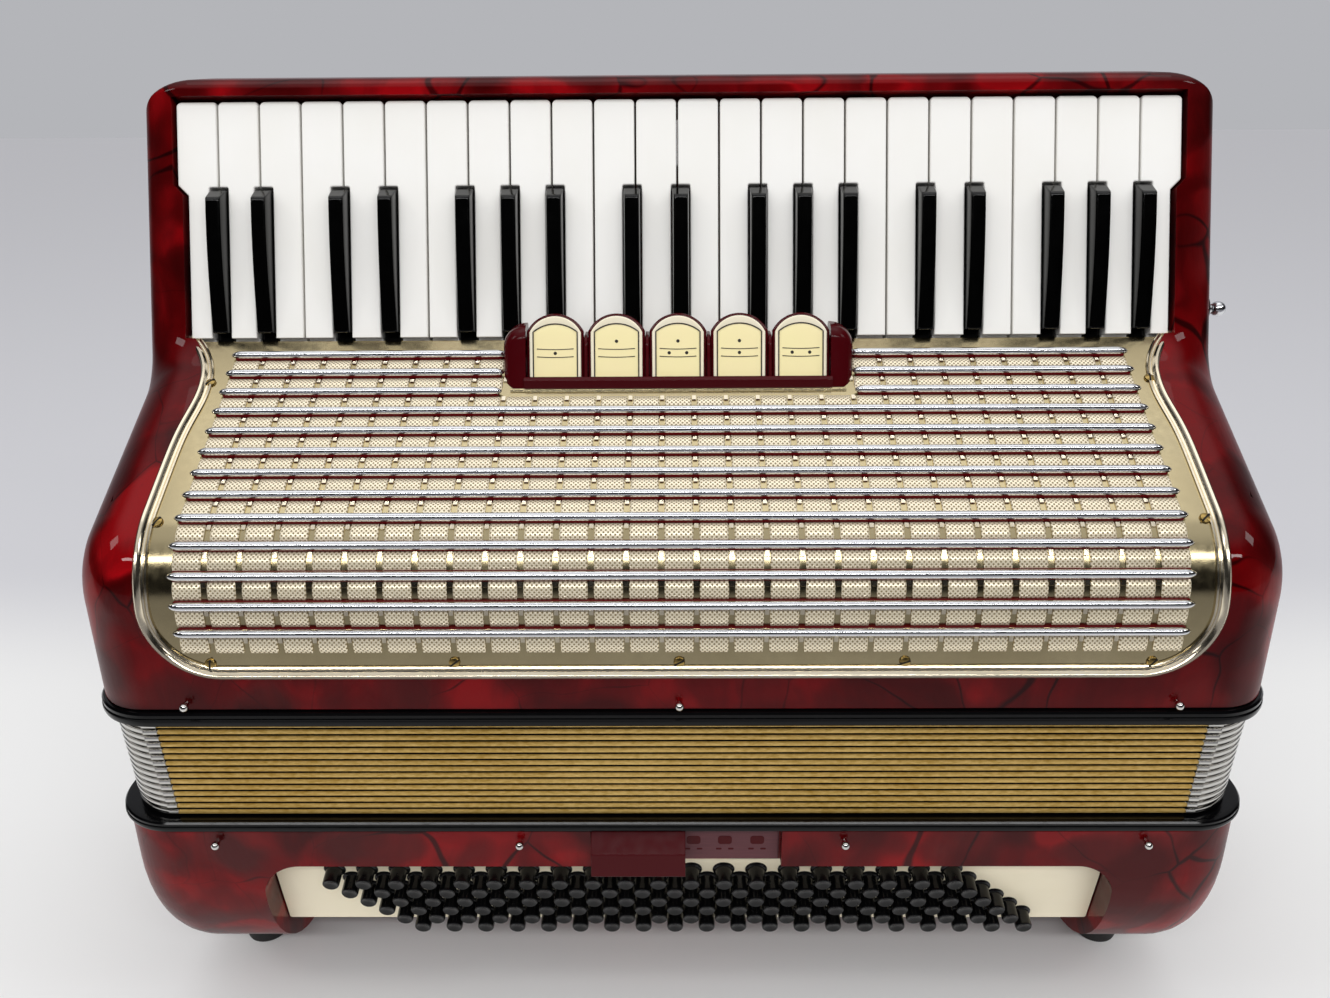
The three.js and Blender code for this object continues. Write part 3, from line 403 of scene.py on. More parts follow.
def turned(profile, sides, place, closed=False):
    """A body of revolution, or a closed ring, from (radius, height) pairs. Place turns x, y and height into
    world corners."""
    profile = np.asarray(profile, float)
    angle = np.arange(sides) * 2 * np.pi / sides
    radius, height = profile[:, :1], profile[:, 1:]
    x, y = radius * np.cos(angle), radius * np.sin(angle)
    return loft(place(x, y, np.broadcast_to(height, x.shape)), closed)


def upright(x, depth, height):
    """Places a turned body with its axis up, at x, a depth and a height."""
    return lambda a, b, c: np.stack([x + a, FRONT + depth + b, height + c], -1)


DEPTH = BACK - FRONT
bass_corners = [
    (0, BASS_FLOOR, 75),
    (0, BASS_TOP, 0.6),
    (DEPTH, BASS_TOP, 0.6),
    (DEPTH, BASS_FLOOR, 45),
]
bass_casing = mesh_of("red_bass_casing", [rounded_case(bass_corners, [END_ROUND, 0, BACK_ROUND, END_ROUND])])
outwards(bass_casing)


def board_line(height, out=0):
    """Depth of the leaning button board at a height, moved out of its face."""
    return BOARD_TOP_DEPTH + (LIP_HEIGHT - height) * np.tan(BOARD_LEAN) - out / np.cos(BOARD_LEAN)


def recess(wall):
    """The recess under the lip as two crossed prisms: its side view and its front view, which flares."""
    seat = -(BOARD_THICKNESS + LEAST_RADIUS + wall)
    lip, plate = LIP_HEIGHT + wall, PLATE_HEIGHT + wall
    side_view = [
        (-FAR, -FAR),
        (-FAR, lip),
        (board_line(lip, seat), lip),
        (board_line(plate, seat), plate),
        (DEPTH + FAR, plate),
        (DEPTH + FAR, -FAR),
    ]
    half = RECESS_HALF + wall
    flare = (lip + FAR) * RECESS_FLARE
    front_view = filleted(
        [
            (RECESS_MIDDLE - half - flare, -FAR, LEAST_RADIUS),
            (RECESS_MIDDLE + half + flare, -FAR, LEAST_RADIUS),
            (RECESS_MIDDLE + half, lip, RECESS_RADIUS),
            (RECESS_MIDDLE - half, lip, RECESS_RADIUS),
        ],
        ARC_STEPS,
    )
    hollow = mesh_of("recess", [prism_x(side_view, -CASE_HALF - FAR, CASE_HALF + FAR)])
    outwards(hollow)
    cut(hollow, prism_y(front_view, -2 * FAR, DEPTH + 2 * FAR), operation="INTERSECT")
    points, faces = points_of(hollow), [list(polygon.vertices) for polygon in hollow.data.polygons]
    bpy.data.objects.remove(hollow)
    return points, faces


air_hole = turned(
    [(AIR_BUTTON_RADIUS + 0.4, 0), (AIR_BUTTON_RADIUS + 0.4, FAR)],
    32,
    upright(AIR_BUTTON_X, AIR_BUTTON_DEPTH, PLATE_HEIGHT - CASE_WALL),
)
track_cut = prism_y(
    [
        (TRACK_LEFT, LIP_HEIGHT - LIP_THICKNESS),
        (TRACK_RIGHT, LIP_HEIGHT - LIP_THICKNESS),
        (TRACK_RIGHT, BASS_TOP + FAR),
        (TRACK_LEFT, BASS_TOP + FAR),
    ],
    -FAR,
    TRACK_DEPTH,
)
cut(bass_casing, recess(0), track_cut, air_hole)
dress(bass_casing, [celluloid], "bass")
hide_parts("bass_casing")


# Feet
# Four round studs of black rubber, screwed into the bass casing's underside, that the instrument stands on.
FOOT_RADIUS = 10
FOOT_X = 211
FOOT_DEPTHS = (62, 148)


def black_rubber():
    """Moulded rubber: dull, faintly grained, greyer where it has rubbed."""
    made = finish_of("moulded_rubber", "#161616", 0.6)
    place = add(made, "TexCoord").outputs["Object"]
    dust = add(made, "TexNoise", {"Vector": place, "Scale": 900.0, "Detail": 2.0}).outputs["Fac"]
    rough = add(made, "MapRange", {0: dust, 3: 0.5, 4: 0.75}).outputs[0]
    grain = add(made, "Bump", {"Strength": 0.2, "Distance": 0.0001, "Height": dust}).outputs[0]
    feed(made, Roughness=rough, Normal=grain)
    return made


foot_profile = [(0.5, 0), (FOOT_RADIUS - 1.5, 0), (FOOT_RADIUS - 0.4, 0.5), (FOOT_RADIUS, 1.8)]
foot_profile += [(FOOT_RADIUS, 9), (FOOT_RADIUS + 1, 11), (FOOT_RADIUS + 1, 17), (0.5, 17)]
feet = [
    turned(foot_profile, 40, upright(side * FOOT_X, depth, 0)) for side in (-1, 1) for depth in FOOT_DEPTHS
]
piece("rubber_feet", feet, [black_rubber()], "bass")


# Button board
# A cream plastic plate that leans back under the lip, with a round hole and a black collar for each button.
BOARD_HEIGHT = 50.5
BUTTON_ROWS = 6
BUTTONS_PER_ROW = 20
BUTTON_PITCH = 14.45
ROW_PITCH = 6.65
FIRST_ROW = 12.6
FIRST_BUTTON_X = -154
BUTTON_RADIUS = 3.7
BUTTON_TOP = 8.4
BUTTON_ROOT = -4.6
COLLAR_RADIUS = 4.9
HOLE_RADIUS = 4.0


def on_board(x, down, out):
    """World corners on the board: x across, down its face from its top edge, and out of its face."""
    depth = BOARD_TOP_DEPTH + down * np.sin(BOARD_LEAN) - out * np.cos(BOARD_LEAN)
    height = LIP_HEIGHT - down * np.cos(BOARD_LEAN) - out * np.sin(BOARD_LEAN)
    return np.stack(np.broadcast_arrays(x, FRONT + depth, height), -1)


def button_places(rows):
    """The (x, down) of each button in some rows: every row starts half a pitch after the one above it."""
    return [
        (FIRST_BUTTON_X + (row / 2 + k) * BUTTON_PITCH, FIRST_ROW + row * ROW_PITCH)
        for row in rows
        for k in range(BUTTONS_PER_ROW)
    ]


def on_board_at(x, down):
    """Places a turned body with its axis out of the board."""
    return lambda a, b, c: on_board(x + a, down + b, c)


def cream_plastic():
    """Cast ivory-coloured plastic: even, satin, a little yellower in clouds with age."""
    made = finish_of("cream_plastic", "#efe4c8", 0.35)
    place = add(made, "TexCoord").outputs["Object"]
    cloud = add(made, "TexNoise", {"Vector": place, "Scale": 30.0, "Detail": 3.0}).outputs["Fac"]
    tint = add(made, "Mix", {0: cloud, 6: "#faf0d6", 7: "#f2e7c8"}, data_type="RGBA").outputs[2]
    feed(made, Base_Color=tint)
    return made


def black_plastic():
    """Moulded black plastic, polished, with faint rubbing marks in its gloss."""
    made = finish_of("polished_black_plastic", "#070708", 0.22, Specular_IOR_Level=0.35)
    return hazed(made, 420.0, 3.0, 0.14, 0.34)


button_black = black_plastic()
board_flare = BOARD_HEIGHT * np.cos(BOARD_LEAN) * RECESS_FLARE
board_half = RECESS_HALF - 0.5
board_outline = filleted(
    [
        (RECESS_MIDDLE - board_half, 1.0, RECESS_RADIUS),
        (RECESS_MIDDLE - board_half - board_flare, BOARD_HEIGHT, 1),
        (RECESS_MIDDLE + board_half + board_flare, BOARD_HEIGHT, 1),
        (RECESS_MIDDLE + board_half, 1.0, RECESS_RADIUS),
    ],
    ARC_STEPS,
)
board = mesh_of("cream_button_board", [slab(board_outline, on_board, -BOARD_THICKNESS, 0)])
outwards(board)
holes = [
    turned([(HOLE_RADIUS, -9), (HOLE_RADIUS, 9)], 20, on_board_at(x, down))
    for x, down in button_places(range(BUTTON_ROWS))
]
hole_block = (
    np.concatenate([points for points, _ in holes]),
    [[corner + k * len(holes[0][0]) for corner in face] for k, hole in enumerate(holes) for face in hole[1]],
)
cut(board, hole_block)
dress(board, [cream_plastic()], "bass")
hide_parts("button_board")

collar_profile = [(HOLE_RADIUS - 0.1, -1), (COLLAR_RADIUS, -0.2), (COLLAR_RADIUS, 0.3)]
collar_profile += [(COLLAR_RADIUS - 0.5, 0.8), (HOLE_RADIUS - 0.1, 1.1)]
collars = [
    turned(collar_profile, 20, on_board_at(x, down), closed=True)
    for x, down in button_places(range(BUTTON_ROWS))
]
piece("button_collars", collars, [button_black], "bass")


# Bass buttons
# Turned rods of black plastic with dished tops, in six rows of 20. Two rows at a time move together here.
ROWS_PER_GROUP = 2
button_profile = [
    (0.4, BUTTON_ROOT),
    (BUTTON_RADIUS, BUTTON_ROOT),
    (BUTTON_RADIUS, BUTTON_TOP - 0.9),
    (BUTTON_RADIUS - 0.15, BUTTON_TOP - 0.3),
    (BUTTON_RADIUS - 0.5, BUTTON_TOP),
    (BUTTON_RADIUS - 0.9, BUTTON_TOP - 0.1),
    (BUTTON_RADIUS - 1.8, BUTTON_TOP - 0.5),
    (0.4, BUTTON_TOP - 0.75),
]
for group in range(BUTTON_ROWS // ROWS_PER_GROUP):
    rows = range(group * ROWS_PER_GROUP, (group + 1) * ROWS_PER_GROUP)
    rods = [turned(button_profile, 20, on_board_at(x, down)) for x, down in button_places(rows)]
    body = f"bass_buttons_{group + 1}"
    rods = piece(f"button_rods_{group + 1}", rods, [button_black], body)
    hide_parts(body)


# Register slide and its panel
# A dark maroon bar of polished plastic slides along a track in the lip. Behind it lies a panel of the same
# plastic, satin-topped, with plain printed marks.
SLIDE_LEFT = -37.7
SLIDE_RIGHT = 2.3
SLIDE_PROUD = 7
SLIDE_SHOULDER = 7.4


def maroon_plastic(name, colour):
    """Cast plastic in very dark red, polished like lacquer, with a faint haze of fine scratches."""
    return hazed(finish_of(name, colour, 0.16, Specular_IOR_Level=0.15), 260.0, 4.0, 0.08, 0.24)


maroon = maroon_plastic("polished_maroon_plastic", "#43050b")
slide_section = [
    (TRACK_DEPTH - 0.6, LIP_HEIGHT, 0.4),
    (-SLIDE_PROUD, LIP_HEIGHT, 0.7),
    (-SLIDE_PROUD + 0.8, BASS_TOP - SLIDE_SHOULDER, 0.9),
    (0.6, BASS_TOP - 0.4, 0.5),
    (TRACK_DEPTH - 0.6, BASS_TOP - 0.4, 0.4),
]


def edged_bar(section, start, end, edge=0.5):
    """A bar along x from a filleted section, whose two end edges are rounded over."""
    near, far = [], []
    for angle in np.linspace(0, np.pi / 2, 5):
        outline = filleted(inset(section, edge * (1 - np.cos(angle))), 4)
        near.append(along_x(outline, start + edge - edge * np.sin(angle)))
        far.append(along_x(outline, end - edge + edge * np.sin(angle)))
    return loft(near[::-1] + far)


slide = piece(
    "maroon_register_slide",
    [edged_bar(slide_section, SLIDE_LEFT, SLIDE_RIGHT, 0.3)],
    [maroon],
    "bass_register_slide",
)
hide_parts("bass_register_slide")

PANEL_FACE = TRACK_DEPTH - 0.3
panel_section = [
    (PANEL_FACE, LIP_HEIGHT + 0.2, 0.4),
    (PANEL_FACE, BASS_TOP - 3.0, 0.4),
    (TRACK_DEPTH + 2, BASS_TOP - 3.0, 0.3),
    (TRACK_DEPTH + 2, LIP_HEIGHT + 0.2, 0.3),
]
panel = edged_bar(panel_section, TRACK_LEFT + 0.4, TRACK_RIGHT - 0.8)


def maroon_satin():
    """The same cast plastic rubbed to a satin. Its greyer look is painted sheen: its colour is greyer than
    the polished bar's.
    """
    # Painted sheen: the satin's greyer look is painted into its colour, greyer than the polished bar's.
    made = finish_of("satin_maroon_painted_sheen", "#5b3439", 0.45, Specular_IOR_Level=0.3)
    place = add(made, "TexCoord").outputs["Object"]
    brushed = add(made, "Mapping", {"Vector": place, "Scale": (0.05, 1.0, 1.0)}).outputs[0]
    lines = add(made, "TexNoise", {"Vector": brushed, "Scale": 1400.0, "Detail": 2.0}).outputs["Fac"]
    tint = add(made, "Mix", {0: lines, 6: "#512b30", 7: "#63393e"}, data_type="RGBA").outputs[2]
    feed(made, Base_Color=tint)
    return made


MARKS_X = (5.9, 19.4, 33.3)
UPPER_MARKS = 101.6
LOWER_MARKS = 97.0
LOWER_MARKS_APART = 2.6


def mark(x, height, half_width, half_height, radius):
    """A printed mark: a thin filleted plate on the panel's face."""
    outline = filleted(
        [
            (x - half_width, height - half_height, radius),
            (x + half_width, height - half_height, radius),
            (x + half_width, height + half_height, radius),
            (x - half_width, height + half_height, radius),
        ],
        5,
    )
    return prism_y(outline, PANEL_FACE - 0.12, PANEL_FACE + 0.2)


marks = [mark(x, UPPER_MARKS, 3.0, 2.1, 1.3) for x in MARKS_X]
for x in MARKS_X:
    marks += [mark(x + side * LOWER_MARKS_APART, LOWER_MARKS, 1.2, 0.4, 0.3) for side in (-1, 1)]
piece("slide_panel", [panel], [maroon_satin()], "bass")
piece("slide_panel_marks", marks, [maroon], "bass")


# Air button
# A turned button of black plastic through the end plate, pressed by the thumb to let air through.
AIR_BUTTON_DROP = 8
air_profile = [(0.4, -AIR_BUTTON_DROP), (3.5, -AIR_BUTTON_DROP + 0.1), (5.4, -AIR_BUTTON_DROP + 0.7)]
air_profile += [(AIR_BUTTON_RADIUS, -AIR_BUTTON_DROP + 2), (AIR_BUTTON_RADIUS, 7.6)]
air_profile += [(AIR_BUTTON_RADIUS + 3, 7.6), (AIR_BUTTON_RADIUS + 3, 9.2), (0.4, 9.2)]
air_button = piece(
    "turned_air_button",
    [turned(air_profile, 36, upright(AIR_BUTTON_X, AIR_BUTTON_DEPTH, PLATE_HEIGHT))],
    [button_black],
    "air_button",
)
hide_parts("air_button")


# Hand strap
# A padded band of black leather, stitched along both edges, that holds the left hand to the end plate.
STRAP_HALF = 176
STRAP_DROP = 24
STRAP_FRONT = 92
STRAP_WIDTH = 66
STRAP_LAND = 0.08
STRAP_EDGE = 1.4
STRAP_MIDDLE_THICKNESS = 3.4


def strap_height(share):
    """Height of the strap's upper side: flat on the plate at both ends, and a half sine wave between."""
    inside = np.maximum(0, 1 - np.abs(2 * share - 1) - STRAP_LAND) / (1 - STRAP_LAND)
    return PLATE_HEIGHT - 0.3 - STRAP_DROP * np.sin(inside * np.pi / 2)


def strap_rings():
    """Rings across the strap: a flat upper side, rounded edges, and a lower side crowned as a sine wave."""
    share = np.linspace(0, 1, 97)
    across = np.linspace(0, 1, 29)
    thickness = STRAP_EDGE + (STRAP_MIDDLE_THICKNESS - STRAP_EDGE) * np.sin(np.pi * across) ** 0.5
    thickness[[0, -1]] = 0.7
    narrow = 1 - 0.1 * np.clip(np.abs(2 * share - 1) * 3 - 2, 0, 1) ** 2
    rings = []
    for place, width in zip(share, narrow):
        depth = STRAP_FRONT + STRAP_WIDTH * (0.5 + (across - 0.5) * width)
        top = np.full(len(across), strap_height(place))
        section = np.column_stack([np.append(depth, depth[::-1]), np.append(top, (top - thickness)[::-1])])
        rings.append(along_x(section, RECESS_MIDDLE + STRAP_HALF * (2 * place - 1)))
    return rings


def black_leather():
    """Vegetable-tanned cowhide, dyed black: pebbled grain about 1 mm across, shinier on its crowns."""
    made = finish_of("black_cowhide", "#1b1512", 0.55, Sheen_Weight=0.1)
    place = add(made, "TexCoord").outputs["Object"]
    pebble = add(made, "TexVoronoi", {"Vector": place, "Scale": 900.0}, feature="SMOOTH_F1")
    pebble = pebble.outputs["Distance"]
    crease = add(made, "TexNoise", {"Vector": place, "Scale": 120.0, "Detail": 5.0}).outputs["Fac"]
    height = add(made, "Math", {0: pebble, 1: 0.6, 2: crease}, operation="MULTIPLY_ADD").outputs[0]
    tint = add(made, "Mix", {0: crease, 6: "#120e0c", 7: "#2a211b"}, data_type="RGBA").outputs[2]
    rough = add(made, "MapRange", {0: pebble, 3: 0.42, 4: 0.7}).outputs[0]
    grain = add(made, "Bump", {"Strength": 0.5, "Distance": 0.0004, "Height": height}).outputs[0]
    feed(made, Base_Color=tint, Roughness=rough, Normal=grain)
    return made


strap = piece("leather_hand_strap", [loft(strap_rings())], [black_leather()], "bass", 1.0)
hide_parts("hand_strap")

STITCH_LENGTH = 2.6
STITCH_STEP = 4.2
STITCH_INSET = 4.5
STITCH_MARGIN = 8
STITCH_DROP = 2.55


def stitches():
    """Waxed thread in short capsules, just proud of the strap's lower side, along both edges."""
    shapes = []
    turn = np.arange(6) * np.pi / 3
    ends = np.array([0, 0.25, 0.75, 1]) * STITCH_LENGTH
    radius = np.array([0.1, 0.34, 0.34, 0.1])[:, None]
    for depth in (STRAP_FRONT + STITCH_INSET, STRAP_FRONT + STRAP_WIDTH - STITCH_INSET):
        for x in np.arange(-STRAP_HALF + STITCH_MARGIN, STRAP_HALF - STITCH_MARGIN, STITCH_STEP):
            share = (x + ends + STRAP_HALF) / (2 * STRAP_HALF)
            height = (strap_height(share) - STITCH_DROP)[:, None]
            rings = np.stack(
                np.broadcast_arrays(
                    (RECESS_MIDDLE + x + ends)[:, None],
                    FRONT + depth + radius * np.cos(turn),
                    height + radius * np.sin(turn),
                ),
                -1,
            )
            shapes.append(loft(rings))
    return shapes


thread = finish_of("waxed_linen_thread", "#8a8172", 0.6)
piece("strap_stitches", stitches(), [thread], "bass")


# Bellows frames
# Two wooden frames lacquered black, glued to the ends of the bellows and pinned to the casings.
FRAME_PROUD = 2
FRAME_WIDTH = 22
FRAME_FRONT_RADIUS = 28
FRAME_BACK_RADIUS = 20
OUTLINE_STEPS = 16


def ring_outline(drawn):
    """Outline of the frames and folds seen from above, drawn in from the frames' outer line."""
    half = CASE_HALF + FRAME_PROUD - drawn
    front, back = drawn - FRAME_PROUD, DEPTH + FRAME_PROUD - drawn
    return filleted(
        [
            (-half, front, FRAME_FRONT_RADIUS - drawn / 2),
            (half, front, FRAME_FRONT_RADIUS - drawn / 2),
            (half, back, FRAME_BACK_RADIUS - drawn / 2),
            (-half, back, FRAME_BACK_RADIUS - drawn / 2),
        ],
        OUTLINE_STEPS,
    )


def ring_at(outline, height):
    """An outline of (x, depth) points as a ring at a height."""
    return np.column_stack([outline[:, 0], FRONT + outline[:, 1], np.full(len(outline), height)])


def black_lacquer():
    """Many thin coats over wood, rubbed and polished: deep gloss with a slight orange peel."""
    made = finish_of("black_lacquer", "#040405", 0.14, Specular_IOR_Level=0.2)
    place = add(made, "TexCoord").outputs["Object"]
    peel = add(made, "TexNoise", {"Vector": place, "Scale": 240.0, "Detail": 2.0}).outputs["Fac"]
    wave = add(made, "Bump", {"Strength": 0.12, "Distance": 0.0003, "Height": peel}).outputs[0]
    feed(made, Normal=wave)
    return made


lacquer = black_lacquer()


def frame_rings(low, high):
    """A frame's closed section swept round the outline: a bead above a rounded edge, with a fine step."""
    tall = high - low
    heights = np.array([0.0, 0.04, 0.16, 0.36, 0.5, 0.56, 0.64, 0.82, 0.95, 1.0])
    drawn = np.array([3.0, 1.4, 0.35, 0.0, 0.1, 0.75, 0.35, 0.3, 0.9, 2.6])
    rings = [ring_at(ring_outline(amount), low + share * tall) for amount, share in zip(drawn, heights)]
    rings += [ring_at(ring_outline(FRAME_WIDTH), high), ring_at(ring_outline(FRAME_WIDTH), low)]
    return loft(rings, closed=True)


for name, body in (("treble_bellows_frame", "treble"), ("bass_bellows_frame", "bass")):
    low, high = (corner.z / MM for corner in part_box(name))
    made = piece(f"lacquered_{name}", [frame_rings(low, high)], [lacquer], body)
    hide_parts(name)


# Bellows
# Folded card with a tape of gold cloth over each ridge and a pressed metal piece on each corner. The folds
# stretch between the bass frame and the treble frame.
FOLD_COUNT = 15
FOLD_DEPTH = 5
SIDE_DRAWN = 3.4
SIDE_LEAN = 3.0
FRONT_DRAWN = 5
BELLOWS_WALL = 22
CORNER_FRONT_X = 217.5
CORNER_FRONT_STEP = 0.32
CORNER_SIDE_REACH = 12
CORNER_OVER = 0.3
CORNER_UNDER = 0.25
bellows_low, bellows_high = (corner.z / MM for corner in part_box("bellows"))
FOLD_PITCH = (bellows_high - bellows_low) / FOLD_COUNT

fold_shares = np.array([0.0, 0.1, 0.15, 0.26, 0.5, 0.74, 0.85, 0.9])
fold_sinks = np.array([1.0, 0.6, 0.15, 0.03, 0.0, 0.03, 0.15, 0.6]) * FOLD_DEPTH


def fold_ring(sink, height):
    """The bellows' outline at a height, drawn in by a sink. Its ends lean in towards the bass side."""
    low_share = (bellows_high - height) / (bellows_high - bellows_low)
    outline = ring_outline(FRONT_DRAWN + sink)
    lean = FRONT_DRAWN - SIDE_DRAWN - SIDE_LEAN * low_share
    outline[:, 0] *= 1 + lean / CASE_HALF
    return outline


def bellows_shape():
    """Rings up the folds: each fold rises from its valley to a rounded ridge and falls again. The faces
    next to a valley are card, and the rest is tape."""
    rings = []
    for fold in range(FOLD_COUNT):
        for share, sink in zip(fold_shares, fold_sinks):
            height = bellows_low + (fold + share) * FOLD_PITCH
            rings.append(ring_at(fold_ring(sink, height), height))
    rings.append(ring_at(fold_ring(FOLD_DEPTH, bellows_high), bellows_high))
    rings += [ring_at(ring_outline(BELLOWS_WALL), height) for height in (bellows_high, bellows_low)]
    corners, faces = loft(rings, closed=True)
    around = len(ring_outline(0))
    row = np.arange(len(faces)) // around
    in_fold = row % len(fold_shares)
    card = (in_fold < 2) | (in_fold >= len(fold_shares) - 2) | (row >= FOLD_COUNT * len(fold_shares))
    tape = [face for face, is_card in zip(faces, card) if not is_card]
    plain = [face for face, is_card in zip(faces, card) if is_card]
    return corners, tape, plain


def corner_shapes():
    """Pressed corners: a thin crescent of the fold's own section, swept round each corner of the outline.
    Each reaches along the front to an x that grows a little from fold to fold, and some way up the side."""
    shapes = []
    span = OUTLINE_STEPS + 1
    shares, sinks = fold_shares[1:], fold_sinks[1:]
    for fold in range(FOLD_COUNT):
        heights = bellows_low + (fold + shares) * FOLD_PITCH
        levels = list(zip(sinks - CORNER_OVER, heights))
        levels += zip(sinks[::-1] + CORNER_UNDER, heights[::-1])
        for corner in range(4):
            rings = []
            for sink, height in levels:
                arc = fold_ring(sink, height)[corner * span : (corner + 1) * span]
                ends = arc[[0, -1]]
                for end in ends:
                    if abs(end[0]) > CASE_HALF - 15:
                        end[1] += np.sign(DEPTH / 2 - end[1]) * CORNER_SIDE_REACH
                    else:
                        end[0] = np.sign(end[0]) * (CORNER_FRONT_X + fold * CORNER_FRONT_STEP)
                rings.append(ring_at(np.vstack([ends[:1], arc, ends[1:]]), height))
            shapes.append(loft(np.stack(rings, 1)))
    return shapes


def gold_tape():
    """Gilt cloth tape: a fine weave, metallic thread over cotton, dull gold with lighter threads."""
    made = finish_of("gold_cloth_tape", "#9c7b35", 0.42, Metallic=0.55)
    place = add(made, "TexCoord").outputs["Object"]
    fine = add(made, "Mapping", {"Vector": place, "Scale": (0.25, 0.25, 1.0)}).outputs[0]
    weave = add(made, "TexNoise", {"Vector": fine, "Scale": 1500.0, "Detail": 2.0}).outputs["Fac"]
    patch = add(made, "TexNoise", {"Vector": place, "Scale": 14.0, "Detail": 2.0}).outputs["Fac"]
    both = add(made, "Math", {0: patch, 1: 0.5, 2: weave}, operation="MULTIPLY_ADD").outputs[0]
    tint = add(made, "MapRange", {0: both, 1: 0.5, 2: 1.0}).outputs[0]
    colour = add(made, "Mix", {0: tint, 6: "#b08c3e", 7: "#dcbb72"}, data_type="RGBA").outputs[2]
    thread_bump = add(made, "Bump", {"Strength": 0.4, "Distance": 0.0001, "Height": weave}).outputs[0]
    feed(made, Base_Color=colour, Normal=thread_bump)
    return made


def black_card():
    """Varnished black card inside the folds."""
    made = finish_of("varnished_card", "#070403", 0.7, Specular_IOR_Level=0.2)
    return hazed(made, 700.0, 3.0, 0.45, 0.75)


def polished_nickel(name="polished_nickel", colour="#d8d6d2", roughness=0.09):
    """Nickel or chrome plate on brass: a mirror, with faint polishing haze."""
    made = finish_of(name, colour, roughness, Metallic=1.0)
    return hazed(made, 180.0, 4.0, roughness * 0.6, roughness * 1.7)


nickel = polished_nickel()
bellows_corners, tape_faces, card_faces = bellows_shape()
folds = mesh_of("bellows_folds", [(bellows_corners, tape_faces, 0), (bellows_corners, card_faces, 1)])
outwards(folds, joined=0.00001)
corner_pieces = mesh_of("bellows_corners", corner_shapes())
outwards(corner_pieces)
for made, materials, slot_name in (
    (folds, [gold_tape(), black_card()], "bellows_card"),
    # Painted shade: the corners take a darker copy of the nickel for the shade between the folds.
    (corner_pieces, [polished_nickel("corner_nickel_painted_shade", "#c6c4c0", 0.06)], "steel"),
):
    coated(made, materials)
    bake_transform(made)
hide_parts("bellows")


# Treble casing
# A box of thin boards under the same celluloid: a flat front that bends over a belly into a sloping shelf,
# then two cheeks and a top rail that frame the keyboard.
TREBLE_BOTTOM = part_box("treble_casing")[0].z / MM
TREBLE_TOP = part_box("treble_casing")[1].z / MM
BELLY_HEIGHT = TREBLE_BOTTOM + 66.9
BELLY_RADIUS = 40
SHELF_SLOPE = np.radians(28.9)
KEY_LEAN = np.radians(19.05)
KEY_INNER = np.array([108.4, TREBLE_BOTTOM + 128.4])
CHEEK_RISE = 3
KEY_LENGTH = 105.4
RAIL_DEPTH = 39.3
shelf_along = np.array([np.cos(SHELF_SLOPE), np.sin(SHELF_SLOPE)])
key_along = np.array([np.sin(KEY_LEAN), np.cos(KEY_LEAN)])
key_out = np.array([-np.cos(KEY_LEAN), np.sin(KEY_LEAN)])


def meeting(at, along, at2, along2):
    """Where two lines meet, each given by a point and a direction."""
    at, along, at2, along2 = (np.asarray(value, float) for value in (at, along, at2, along2))
    gap = at2 - at
    area = gap[0] * along2[1] - gap[1] * along2[0]
    return at + along * area / (along[0] * along2[1] - along[1] * along2[0])


cheek_line = KEY_INNER + CHEEK_RISE * key_out
waist = meeting((0, BELLY_HEIGHT), shelf_along, cheek_line, key_along)
top_front = meeting(cheek_line, key_along, (0, TREBLE_TOP), (1, 0))
treble_corners = [
    (0, TREBLE_BOTTOM, 0.6),
    (0, BELLY_HEIGHT, BELLY_RADIUS),
    (*waist, 30),
    (*top_front, 6),
    (top_front[0] + RAIL_DEPTH, TREBLE_TOP, 12),
    (DEPTH, TREBLE_BOTTOM + 160, 60),
    (DEPTH, TREBLE_BOTTOM, 0.6),
]
treble_amounts = [END_ROUND, END_ROUND, 14, BACK_ROUND, BACK_ROUND, BACK_ROUND, 0]


def on_keyboard(x, along, out):
    """World corners on the keyboard: x across, along the keys from their inner end, out of their tops."""
    depth = KEY_INNER[0] + along * key_along[0] + out * key_out[0]
    height = KEY_INNER[1] + along * key_along[1] + out * key_out[1]
    return np.stack(np.broadcast_arrays(x, FRONT + depth, height), -1)


WHITE_COUNT = 24
KEY_PITCH = 18.8
KEYBOARD_HALF = WHITE_COUNT * KEY_PITCH / 2
WELL_HALF = KEYBOARD_HALF + 1
END_NOTCH = 4.6
END_NOTCH_START = 68
KEYBED = 18
GRILLE_HALF = 212.5
GRILLE_BOTTOM = TREBLE_BOTTOM + 15
grille_edge = meeting((0, BELLY_HEIGHT), shelf_along, KEY_INNER - 2 * key_along, key_out)

# The well that the keys lie in, the pocket for their arms behind the grille's edge, and the hollow inside
# the casing, which ends below the keyboard.
well_plan = [
    (-WELL_HALF + END_NOTCH, -0.9),
    (WELL_HALF - END_NOTCH, -0.9),
    (WELL_HALF - END_NOTCH, END_NOTCH_START - END_NOTCH),
    (WELL_HALF, END_NOTCH_START),
    (WELL_HALF, KEY_LENGTH + 1.3),
    (-WELL_HALF, KEY_LENGTH + 1.3),
    (-WELL_HALF, END_NOTCH_START),
    (-WELL_HALF + END_NOTCH, END_NOTCH_START - END_NOTCH),
]
well = slab(well_plan, on_keyboard, -KEYBED, FAR)
pocket_half = WELL_HALF - END_NOTCH
pocket_plan = [(-pocket_half, -35), (pocket_half, -35), (pocket_half, 2), (-pocket_half, 2)]
pocket = slab(pocket_plan, on_keyboard, -KEYBED + 0.01, -3)
hollow_profile = [
    (CASE_WALL, TREBLE_BOTTOM - FAR),
    (CASE_WALL, TREBLE_BOTTOM + 45),
    (30, TREBLE_BOTTOM + 80),
    (85, TREBLE_BOTTOM + 100),
    (DEPTH - CASE_WALL, TREBLE_BOTTOM + 100),
    (DEPTH - CASE_WALL, TREBLE_BOTTOM - FAR),
]
